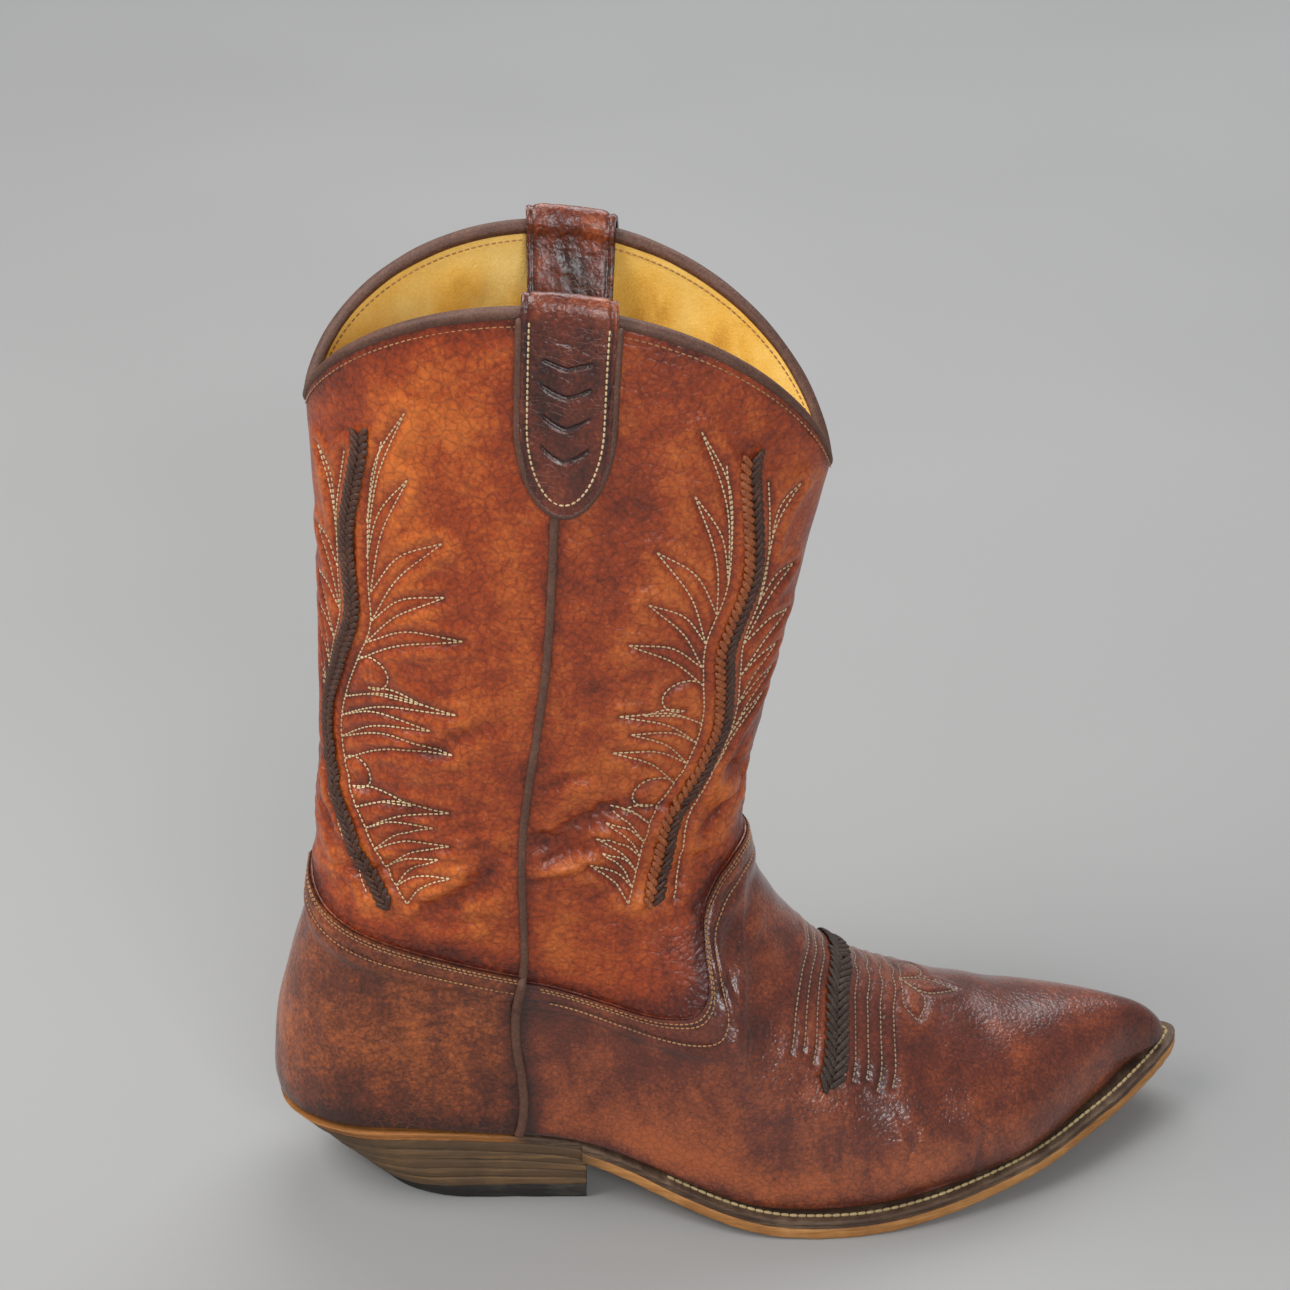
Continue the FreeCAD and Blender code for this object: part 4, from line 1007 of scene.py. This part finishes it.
def counter_relief(points, height):
    relief = 0.25 * wave(points, 45.0, 81) + 0.12 * wave(points * np.array([1.0, 1.0, 0.3]), 7.0, 82)
    relief += crease_field(points, 83, 16, ((-30, -36, 60), (12, -28, 105)), 18.0, 0.4, 0.3, 1.0)
    return relief, np.full(points.shape[:-1], 99.0)


def vamp_base(points):
    x, z = points[..., 0], points[..., 2]
    side = ease(10, 40, x) * (1 - ease(150, 190, x))
    # Painted highlight in a band along the vamp's side about 13 mm above the sole; darker right above the
    # sole and towards the toe tip.
    base = 0.50 + 0.18 * np.exp(-(((z - sole_z(x)) - 13) / 8.0) ** 2) * side
    base = base - 0.24 * np.exp(-((z - sole_z(x)) / 4.5) ** 2)
    base = base - 0.12 * ease(200, 235, x)
    return base


def counter_base(points):
    x, z = points[..., 0], points[..., 2]
    base = 0.50 + 0.10 * np.exp(-((z - 66) / 14.0) ** 2)
    return base - 0.30 * np.exp(-((z - sole_z(x)) / 9.0) ** 2) - 0.10 * ease(90, 110, z)


lower_panel("vamp_leather_piece", "vamp", front_angle, vamp_edge, 620, 170, VAMP, vamp_relief, vamp_base)
lower_panel("counter_leather_piece", "counter", back_angle, counter_edge, 230, 130, COUNTER, counter_relief,
            counter_base)


def foot_lining(name, node, angle_of, edge, depth):
    height, angle = panel(
        angle_of, lambda a: np.full_like(a, 0.016), lambda a: edge(a) - OVERLAP - 0.012, 120, 50)
    points, normals = skin(height, angle), outward(height, angle)
    depths = depth(points, height)
    # Low tone: painted shade deep inside the foot.
    tone = 0.32 + 0.1 * wave(points, 30.0, 91)
    shell_outer = points - normals * depths[..., None]
    shell_inner = points - normals * (depths + 1.2)[..., None]
    piece = shell(name, shell_outer, shell_inner, LINING, tone)
    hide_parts(node)


foot_lining("vamp_lining_piece", "vamp_lining", front_angle, vamp_edge,
            lambda p, h: 1.85 + 1.7 * ease(166.0, 184.0, p[..., 0]))
foot_lining("heel_lining_piece", "heel_lining", back_angle, counter_edge,
            lambda p, h: 1.85 + 1.7 * (1 - ease(0.30, 0.34, h)))

# ---------------------------------------------------------------- stitches of the upper


def stitch_piece(name, paths, material, pitch=STITCH_PITCH, length=STITCH_LENGTH, width=STITCH_WIDTH):
    points, quads = join_parts(
        [stitch_points(path, normals, pitch, length, width) for path, normals in paths])
    piece = make_object(name, points, quads, material)
    return piece


def sewn(which):
    """Paths and normals of a pattern's stitches, laid in their grooves."""
    lines = all_lines(which)
    cuts = np.cumsum([len(line[0]) for line in lines])[:-1]
    path, normals, height = [np.concatenate(part) for part in list(zip(*lines))[:3]]
    ground = vamp_relief(path, height)[0] if which == "vamp" else shaft_relief(path, which)[0]
    raised = path + normals * (ground + 0.12)[:, None]
    return list(zip(np.split(raised, cuts), np.split(normals, cuts)))


stitch_piece("shaft_back_stitches", sewn("back"), THREAD)
stitch_piece("shaft_front_stitches", sewn("front"), THREAD)
stitch_piece("vamp_stitches", sewn("vamp"), THREAD_DIM)

edge_paths = []
for edge, low, high in ((vamp_edge, 84.5, 275.5), (counter_edge, -80.5, 80.5)):
    for drop_mm in (1.5, 2.9, 9.2):
        height, angle = stitched_row(edge, low, high, drop_mm / 300, steps=600)
        lift = lift_of(edge, height, angle)
        edge_paths.append((layer(height, angle, lift - 0.02), outward(height, angle)))
stitch_piece("vamp_and_counter_edge_stitches", edge_paths, THREAD_BROWN, 1.7, 1.25, 0.6)

# ---------------------------------------------------------------- piping, braids and binding


def rise(low, high, steps):
    return np.linspace(low, high, steps)


for side, sign in (("lateral", 1), ("medial", -1)):
    level = rise(0.006, 0.905, 480)
    angle = sign * seam_angle(level) % 360.0
    over_edge = (LEATHER + 0.1) * (1 - ease(0.356, 0.368, level))
    lift = np.where(level < 0.356, lift_of(vamp_edge, level, angle), over_edge)
    wide = 1.65 - 0.25 * ease(0.34, 0.40, level)
    piece = make_tube(f"seam_piping_{side}", layer(level, angle, lift + 0.25), outward(level, angle), wide,
                      0.70 * wide, TRIM)
    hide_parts(f"side_seam_piping_{side}", f"foot_seam_piping_{side}")


def braid_strand(centre, ahead, sideways, lift, side, width):
    """One lace of a flat braid: from the outer edge down to the middle, over its neighbours."""
    count = 7
    t = np.linspace(0, 1, count)
    out = side * width * (0.56 - 0.60 * t)
    along = 0.72 * width * (t - 0.4)
    high = 0.25 + 0.75 * np.sin(np.pi * (0.15 + 0.8 * t)) ** 0.8
    path = (centre + sideways * out[:, None] + ahead * along[:, None] + lift * high[:, None])
    upright = np.repeat(lift[None], count, 0)
    return tube(path, upright, np.full(count, 1.05), np.full(count, 0.55), sides=8)


def braid(name, height, angle, width, pitch, materials, node, relief_under, lift=0.25):
    """A flat braid laid along a line on the skin, its two halves in two laces."""
    path, normals = skin(height, angle), outward(height, angle)
    ground = relief_under(path)
    path = path + normals * (lift + ground)[:, None]
    spots, share = resample(path, pitch)
    index = np.arange(len(path))
    tangent, sideways = frames_along(path, normals)
    for half, material in zip((1, -1), materials):
        parts = []
        for k, (spot, at) in enumerate(zip(spots, share)):
            at = min(at + (0.5 if half < 0 else 0.0) * len(path) / max(len(spots), 1), len(path) - 1)
            spot = np.array([np.interp(at, index, path[:, c]) for c in range(3)])
            i = int(at)
            parts.append(braid_strand(spot, -tangent[i], sideways[i], normals[i], half, width))
        points, quads = join_parts(parts)
        label = f"{name}_{'left' if half > 0 else 'right'}"
        piece = make_object(label, points, quads, material)
        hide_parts(node)


for side, sign in (("lateral", 1), ("medial", -1)):
    level = rise(0.462, 0.935, 400)
    angle = sign * curve(BACK_BRAID_HEIGHTS, BACK_BRAID_ANGLES, level) % 360.0
    braid(f"back_lace_{side}", level, angle, 5.6, 2.5, (LACE_DARK, LACE_DARK), f"back_braid_{side}",
          lambda path: shaft_relief(path, "back")[0])
    level = rise(0.497, 0.938, 400)
    angle = sign * curve(FRONT_BRAID_HEIGHTS, FRONT_BRAID_ANGLES, level) % 360.0
    first, second = (LACE_TAN, LACE_DARK) if sign > 0 else (LACE_DARK, LACE_TAN)
    braid(f"front_lace_{side}", level, angle, 6.4, 2.7, (first, second), f"front_braid_{side}",
          lambda path: shaft_relief(path, "front")[0])

angle = np.linspace(122.0, 238.0, 400)
level = curve(VAMP_BRAID_ANGLES, VAMP_BRAID_HEIGHTS, fold(angle))
braid("vamp_lace", level, angle, 8.4, 3.0, (LACE_DUSTY, LACE_DUSTY), "vamp_braid",
      lambda path: vamp_relief(path, level)[0])


def binding():
    """The rolled binding over the topline, with a small stitch row under it on both faces."""
    angle = np.linspace(0, 360, 720, endpoint=False)
    edge = layer(np.ones(720), angle, np.full(720, -1.6))
    normals = outward(np.ones(720), angle)
    turn = np.linspace(0, 2 * np.pi, 14, endpoint=False)
    up = np.array([0.0, 0.0, 1.0])
    wide = 2.35 + 0.12 * wave(edge, 14.0, 95)
    tall = 2.3
    ring = (normals[:, None] * (np.cos(turn)[None, :, None] * wide[:, None, None])
            + up * (np.sin(turn)[None, :, None] * tall))
    points = (edge[:, None] + up * 0.3 + ring).reshape(-1, 3)
    quads = grid_quads(720, 14, wrap_columns=True, wrap_rows=True)[:, ::-1]
    piece = make_object("topline_binding", points, quads, TRIM)
    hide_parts("topline_binding_front", "topline_binding_back")
    down = up * 3.4
    paths = []
    for depth in (0.18, -3.45):
        for first, last in ((5.0, 175.0), (185.0, 355.0)):
            arc = np.linspace(first, last, 350)
            path = layer(np.ones(350), arc, np.full(350, depth)) - down
            paths.append((path, outward(np.ones(350), arc)))
    stitch_piece("topline_stitches", paths, THREAD_BROWN, 2.1, 1.5, 0.55)


binding()

# ---------------------------------------------------------------- pull straps

STRAP_ANGLE = 91.0
STRAP_LOW = 0.886
STRAP_WIDTH = 28.0
STRAP_LEATHER = 2.2
STRAP_INNER_LENGTH = 58.0
STRAP_CLEAR = 0.8
STRAP_ROUNDING = 0.045
STRAP_CREST = 7.2
STRAP_END_SHARE = 0.178


def strap_surface(across, share, above, sign):
    """Points of a pull strap's middle surface, moved by above along its outer side.
    across is -0.5 to 0.5 over the width and share 0 to 1 along the length."""
    per_degree = float(np.linalg.norm(skin(0.95, STRAP_ANGLE + 1) - skin(0.95, STRAP_ANGLE)))
    angle = STRAP_ANGLE + across * STRAP_WIDTH / per_degree
    if sign < 0:
        angle = 360.0 - angle
    near = STRAP_CLEAR + above
    far = -3.1 - STRAP_CLEAR - above
    middle, radius = (near + far) / 2, (near - far) / 2
    crest = STRAP_CREST - STRAP_LEATHER + above
    low = STRAP_LOW + STRAP_ROUNDING * (1 - np.sqrt(1 - (1.96 * across) ** 2))
    leg_height = low + (1.0 - low) * np.clip(share / 0.45, 0, 1)
    first = layer(leg_height, angle, near)
    turn = np.pi * np.clip((share - 0.45) / 0.10, 0, 1)
    bend = layer(np.ones_like(angle * share), angle, middle + radius * np.cos(turn))
    bend[..., 2] += crest * np.sin(turn)
    down = np.clip((share - 0.55) / 0.45, 0, 1)
    bow = 8.0 * np.sin(np.pi * down) ** 1.5
    last = layer(np.ones_like(angle * share), angle, far - bow)
    last[..., 2] -= STRAP_INNER_LENGTH * down
    share = share[..., None]
    return np.where(share < 0.45, first, np.where(share < 0.55, bend, last))


def chevrons(across, share):
    """A generic pressed pattern on the strap's outer leg: a row of chevrons."""
    row = (share / 0.0135 - np.abs(across) * 4.0) % 5.0
    line = np.exp(-((row - 2.5) / 0.42) ** 2)
    inside = (1 - ease(0.24, 0.28, np.abs(across))) * ease(0.09, 0.11, share) * (1 - ease(0.36, 0.38, share))
    return line * inside


def pull_strap(side, sign):
    columns, rows = 60, 420
    across = np.linspace(-0.5, 0.5, columns)[:, None] * np.ones((1, rows))
    share = np.concatenate([np.linspace(0, 0.45, 200, endpoint=False),
                            np.linspace(0.45, 0.55, 60, endpoint=False),
                            np.linspace(0.55, 1, 160)])[None] * np.ones((columns, 1))
    edge = np.abs(across) * 2
    puff = -0.55 * np.exp(-((edge - 0.86) / 0.05) ** 2)
    crackle = 0.10 * wave(np.stack([across * 28, share * 130, 0 * across], -1), 5.0, 101 + sign)
    press = -0.80 * chevrons(across, share)
    round_edge = -0.5 * ease(0.93, 1.0, edge)
    relief = puff + crackle + press + round_edge
    top = strap_surface(across, share, STRAP_LEATHER + relief, sign)
    bottom = strap_surface(across, share, 0.0 * across, sign)
    folded = np.exp(-((share - 0.5) / 0.06) ** 2)
    # The tone follows the relief: painted shade in the pressed chevrons and the grooves near the edges,
    # lighter on the raised crackle; lighter over the fold at the top.
    tone = 0.40 + 0.32 * relief + 0.16 * folded + 0.1 * wave(top, 15.0, 103)
    if sign < 0:
        top, bottom = top[::-1], bottom[::-1]
        tone = tone[::-1]
    piece = shell(f"strap_{side}", top, bottom, STRAP, tone)
    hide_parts(f"pull_strap_{side}")

    def outline(inset, above, reach):
        """A U-shaped line round the strap's outer leg, inset from its edge."""
        half = 0.5 - inset / STRAP_WIDTH
        straight = np.linspace(reach, STRAP_END_SHARE, 160)
        turn = np.linspace(-np.pi / 2, np.pi / 2, 90)
        start = inset / 130.0
        lows = start + (STRAP_END_SHARE - start) * (1 - np.cos(turn))
        sides = np.concatenate([np.full(160, -half), half * np.sin(turn), np.full(160, half)])
        shares = np.concatenate([straight, lows, straight[::-1]])
        path = round_end(sides, shares, above, sign)
        normals = unit(round_end(sides, shares, above + 1.0, sign) - path)
        return path, normals

    path, normals = outline(-0.4, 0.9, 0.45)
    wide, tall = np.full(len(path), 1.25), np.full(len(path), 1.35)
    piece = make_tube(f"strap_edging_{side}", path, normals, wide, tall, TRIM)
    stitch_piece(f"strap_stitches_{side}", [outline(2.6, STRAP_LEATHER + 0.02, 0.44)], THREAD, 1.9, 1.4, 0.7)


def round_end(across, share, above, sign):
    """Like strap_surface on the outer leg, with the share counted from a straight low end."""
    per_degree = float(np.linalg.norm(skin(0.95, STRAP_ANGLE + 1) - skin(0.95, STRAP_ANGLE)))
    angle = STRAP_ANGLE + across * STRAP_WIDTH / per_degree
    if sign < 0:
        angle = 360.0 - angle
    height = STRAP_LOW + (1.0 - STRAP_LOW) * share / 0.45
    return layer(height, angle, np.full(across.shape, STRAP_CLEAR + above))


for side, sign in (("lateral", 1), ("medial", -1)):
    pull_strap(side, sign)

# ---------------------------------------------------------------- the bottom

HEEL_BREAST = 34.0
HEEL_REAR = (-39.0, -70.8)
HEEL_HALF = (28.0, 31.8)
HEEL_TOP = 30.0
HEEL_REAR_LENGTH = 34.0
WELT_THICK = 3.0
OUTSOLE_THICK = 4.3
OUTER_EDGE = [
    (33.0, -32.6), (50.0, -37.6), (66.0, -43.6), (84.0, -49.2), (105.0, -52.0),
    (130.0, -50.4), (152.0, -44.6), (170.0, -36.9), (186.0, -28.6), (198.0, -20.2), (210.0, -9.8),
    (221.5, 0.4), (233.0, 12.6), (241.0, 22.8), (245.0, 30.6),
]
INNER_EDGE = [
    (242.0, 36.6), (231.0, 41.5), (214.0, 47.4), (194.0, 51.6), (170.0, 53.2), (148.0, 52.0),
    (126.0, 48.4), (104.0, 41.4), (82.0, 34.6), (60.0, 30.4), (36.0, 30.2),
]


def heel_ring(z, count, inset=0.0, breast=HEEL_BREAST):
    """The heel's outline at a height: from the outer breast corner round the rear to the inner one."""
    share = np.asarray(z, float) / HEEL_TOP
    rear = HEEL_REAR[0] + (HEEL_REAR[1] - HEEL_REAR[0]) * share + inset
    half = HEEL_HALF[0] + (HEEL_HALF[1] - HEEL_HALF[0]) * share - inset
    t = np.linspace(0, 1, count)
    straight = 0.30
    turn = np.pi * np.clip((t - straight) / (1 - 2 * straight), 0, 1)
    bend = rear + HEEL_REAR_LENGTH
    x = bend - HEEL_REAR_LENGTH * np.sin(turn)
    y = -half * np.cos(turn)
    x = np.where(t < straight, breast + (bend - breast) * t / straight, x)
    x = np.where(t > 1 - straight, bend + (breast - bend) * (t - 1 + straight) / straight, x)
    return x, y


def band(name, low_of, high_of, material, node, slot, count=300, bulge=0.0, seed=0, breast=HEEL_BREAST):
    """A layer of the heel between two levels, each a height for every x, with softly worn edges."""
    profile = [(2.0, 0.0), (0.45, 0.0), (0.12, 0.08), (0.0, 0.25), (-bulge, 0.5), (0.0, 0.75), (0.12, 0.92),
               (0.45, 1.0), (2.0, 1.0)]
    rings = []
    for inset, share in profile:
        z = np.full(count, 15.0)
        for _ in range(4):
            x, y = heel_ring(z, count, inset, breast)
            low, high = low_of(x), high_of(x)
            z = low + (high - low) * share
        jitter = 0.10 * wave(np.stack([x, y, z * 2], -1), 9.0, seed)
        jitter = jitter + 0.12 * wave(np.stack([x, y, z], -1), 30.0, seed + 1)
        centre_x = -10.0
        length = np.hypot(x - centre_x, y) + 1e-6
        rings.append(np.stack([x + jitter * (x - centre_x) / length, y + jitter * y / length, z], -1))
    grid = np.stack(rings)
    return close_band(name, grid, material, node)


def close_band(name, grid, material, node):
    """Closes a stack of open rings into a solid: its wall, a flat front, and its lower and upper faces."""
    rings, count = grid.shape[:2]
    points = [grid.reshape(-1, 3)]
    quads = [grid_quads(rings, count, flip=True)]
    half = count // 2
    strips = 10
    for ring, flip in ((0, False), (rings - 1, True)):
        start = sum(len(p) for p in points)
        left = grid[ring, :half]
        right = grid[ring, ::-1][:half]
        t = np.linspace(0, 1, strips)[None, :, None]
        points.append((left[:, None] * (1 - t) + right[:, None] * t).reshape(-1, 3))
        quads.append(grid_quads(half, strips, start=start, flip=flip))
    start = sum(len(p) for p in points)
    t = np.linspace(0, 1, strips)[None, :, None]
    face = grid[:, 0][:, None] * (1 - t) + grid[:, -1][:, None] * t
    points.append(face.reshape(-1, 3))
    quads.append(grid_quads(rings, strips, start=start, flip=False))
    piece = make_object(name, np.concatenate(points), np.concatenate(quads), material)
    weld(piece)
    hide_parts(*([node] if isinstance(node, str) else node))
    return piece


def weld(piece, distance=0.02 * MM):
    """Joins points that lie together and turns all faces outward."""
    work = bmesh.new()
    work.from_mesh(piece.data)
    bmesh.ops.remove_doubles(work, verts=work.verts, dist=distance)
    bmesh.ops.recalc_face_normals(work, faces=work.faces)
    work.to_mesh(piece.data)
    work.free()
    for polygon in piece.data.polygons:
        polygon.use_smooth = True
    piece.data.set_sharp_from_angle(angle=math.radians(50))


LIFTS = 4


def seat_bottom(x):
    return sole_z(x) - WELT_THICK - OUTSOLE_THICK - 0.15


def lift_level(share):
    def level(x):
        low = 6.0 - 2.2 * ease(-10.0, 60.0, -x)
        return low + (seat_bottom(x) - low) * share
    return level


band("top_lift_piece", lambda x: 0.0 * x, lambda x: lift_level(0.0)(x) - 0.05, RUBBER, "top_lift",
     "top_lift", seed=201)
for number in range(LIFTS):
    band(f"heel_lift_piece_{number + 1}", lambda x: lift_level(number / LIFTS)(x) + 0.03,
         lambda x: lift_level((number + 1) / LIFTS)(x) - 0.03, STACK, f"heel_lift_{number + 1}", "heel_stack",
         seed=210 + number)


def full_outline(depth, inset, count=900):
    """The sole's edge at a depth below the feather line: the heel's slanted seat, then the forefoot.
    The points run from the outer side round the toe to the inner side and round the rear."""
    fore = smooth_line(OUTER_EDGE + INNER_EDGE, 24)
    tangent = unit(np.gradient(np.c_[fore, np.zeros(len(fore))], axis=0))
    fore = fore + np.stack([-tangent[:, 1], tangent[:, 0]], -1) * inset
    z = np.full(300, 25.0)
    for _ in range(4):
        x, y = heel_ring(z, 300, inset)
        z = sole_z(x) - depth
    rear = np.stack([x, y], -1)[::-1]
    ring = np.concatenate([fore, rear[2:-2]])
    ring = np.concatenate([ring, ring[:1]])
    smooth3 = np.c_[ring, np.zeros(len(ring))]
    travel = np.concatenate([[0], np.cumsum(np.linalg.norm(np.diff(smooth3, axis=0), axis=1))])
    stops = np.linspace(0, travel[-1], count, endpoint=False)
    x, y = np.interp(stops, travel, ring[:, 0]), np.interp(stops, travel, ring[:, 1])
    return x, y


def sole_layer(name, top, thick, profile, material, node, seed, stained, inner=None):
    """A layer of the whole bottom: closed faces, or a ring when inner is given; the value of inner is not
    used, the ring's inset comes from the profile.
    """
    rings = []
    for inset, share in profile:
        depth = top + thick * share
        x, y = full_outline(depth, inset)
        z = sole_z(x) - depth
        points = np.stack([x, y, z], -1)
        jitter = 0.09 * wave(points, 11.0, seed) + 0.07 * wave(points, 3.5, seed + 1)
        normal = unit(np.cross(np.gradient(points, axis=0), [0, 0, 1.0]))
        rings.append(points + normal * jitter[:, None])
    grid = np.stack(rings)
    count = grid.shape[1]
    points = [grid.reshape(-1, 3)]
    if inner is not None:
        quads = [grid_quads(len(rings), count, wrap_columns=True, wrap_rows=True)]
    else:
        quads = [grid_quads(len(rings), count, wrap_rows=True)]
        for ring in (0, len(rings) - 1):
            start = sum(len(p) for p in points)
            tip = int(np.argmax(grid[ring, :, 0]))
            left = np.roll(grid[ring], -tip, axis=0)[:count // 2 + 1]
            right = np.roll(grid[ring][::-1], -(count - 1 - tip), axis=0)[:count // 2 + 1]
            t = np.linspace(0, 1, 24)[None, :, None]
            sheet = left[:, None] * (1 - t) + right[:, None] * t
            sheet[..., 2] = sole_z(sheet[..., 0]) - (sole_z(left[:, :1]) - left[:, 2:3])
            points.append(sheet.reshape(-1, 3))
            quads.append(grid_quads(len(left), 24, start=start))
    points = np.concatenate(points)
    tone = 1 - ease(*stained, points[:, 0])
    piece = make_object(name, points, np.concatenate(quads), material, tone=tone)
    weld(piece)
    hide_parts(*([node] if isinstance(node, str) else node))
    return piece


# A layer's edge from its top to its bottom: how far in, and how far down as a share of the layer.
EDGE = [(3.0, 0.0), (0.5, 0.0), (0.15, 0.06), (0.0, 0.2), (-0.05, 0.5), (0.0, 0.8), (0.2, 0.95), (0.6, 1.0),
        (3.0, 1.0)]
sole_layer("outsole_piece", WELT_THICK, OUTSOLE_THICK, EDGE, OUTSOLE, "outsole", 221,
           (30.0, 44.0))
WELT_EDGE = [(11.0, 0.0), (3.2, 0.02), (2.4, 0.06), (1.6, 0.02), (0.4, 0.0), (0.0, 0.12), (0.0, 0.42),
             (0.5, 0.5), (0.0, 0.58), (0.0, 0.9), (0.4, 1.0), (11.0, 1.0)]
sole_layer("welt_piece", 0.0, WELT_THICK, WELT_EDGE, WELT, ("welt", "heel_rand"), 231,
           (4.0, 16.0), inner=11.0)

SOCK_EDGE = [(13.3, 0.0), (12.8, 0.05), (12.6, 0.3), (12.6, 0.7), (12.8, 0.95), (13.3, 1.0)]
# The sock lining's tone falls from the heel to the toe: painted shade deep inside the toe.
sole_layer("sock_piece", -3.8, 1.0, SOCK_EDGE, LINING, "sock_lining", 241, (-160.0, 340.0))

x, y = full_outline(0.0, 3.4)
seam = np.stack([x, y, sole_z(x) + 0.15], -1)
seam = seam[(x > 61.0)]
seam = np.roll(seam, -int(np.argmax(np.linalg.norm(seam - np.roll(seam, 1, axis=0), axis=1))), axis=0)
upright = np.repeat(np.array([[0.0, 0.0, 1.0]]), len(seam), 0)
points, quads = stitch_points(seam, upright, 2.9, 2.7, 1.25)
piece = make_object("welt_stitches", points, quads, THREAD_WELT)
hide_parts("welt_stitching")

# ---------------------------------------------------------------- CAD nodes that stay

STAY = {
    "insole": BOARD, "shank": STEEL, "bottom_filler": CORK, "heel_nails": STEEL,
    "heel_stiffener": BOARD, "toe_puff": BOARD,
}
for node, material in STAY.items():
    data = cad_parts[node].data
    data.materials.clear()
    data.materials.append(material)

# ---------------------------------------------------------------- floor, light and camera


def floor():
    mesh = bpy.data.meshes.new("floor")
    reach = 6.0
    corners = [(-reach, -reach, 0), (reach, -reach, 0), (reach, reach, 0), (-reach, reach, 0)]
    mesh.from_pydata(corners, [], [(0, 1, 2, 3)])
    plane = bpy.data.objects.new("floor", mesh)
    bpy.context.scene.collection.objects.link(plane)
    n = Nodes("floor_paper")
    paper = n.ramp(n.noise(2.0, 2.0), [(0.3, srgb(156, 156, 155)), (0.7, srgb(162, 162, 161))])
    n.finish(paper, 0.8, specular=0.2)
    mesh.materials.append(n.material)


def area_light(name, place, target, size, power, colour=(1, 1, 1)):
    data = bpy.data.lights.new(name, "AREA")
    data.shape = "RECTANGLE"
    data.size, data.size_y = size
    data.energy = power
    data.color = colour
    light = bpy.data.objects.new(name, data)
    light.location = place
    light.rotation_euler = (Vector(target) - Vector(place)).to_track_quat("-Z", "Y").to_euler()
    bpy.context.scene.collection.objects.link(light)


def camera():
    azimuth, elevation, distance = math.radians(-0.8), math.radians(29.3), 1.030
    target = Vector((0.0547, 0.0, 0.2025))
    level = math.cos(elevation)
    back = Vector((math.sin(azimuth) * level, -math.cos(azimuth) * level, math.sin(elevation)))
    data = bpy.data.cameras.new("camera")
    data.sensor_width = 36.0
    data.lens = 89.3
    data.clip_end = 50.0
    view = bpy.data.objects.new("camera", data)
    view.location = target + back * distance
    view.rotation_euler = (-back).to_track_quat("-Z", "Y").to_euler()
    bpy.context.scene.collection.objects.link(view)
    bpy.context.scene.camera = view


floor()
area_light("window", (-0.95, -0.25, 1.35), (0.05, 0, 0.15), (0.9, 0.9), 19, (1.0, 0.98, 0.95))
area_light("ceiling", (0.35, 1.3, 1.9), (0.15, 0.6, 0.0), (1.8, 1.4), 34, (0.97, 0.98, 1.0))
area_light("fill", (0.45, -1.5, 0.95), (0.08, 0, 0.10), (0.8, 0.45), 14, (0.96, 0.98, 1.0))
bpy.context.scene.view_settings.view_transform = "Standard"
world = bpy.data.worlds.new("studio")
world.use_nodes = True
world.node_tree.nodes["Background"].inputs[0].default_value = (0.80, 0.81, 0.83, 1)
world.node_tree.nodes["Background"].inputs[1].default_value = 0.38
bpy.context.scene.world = world
camera()
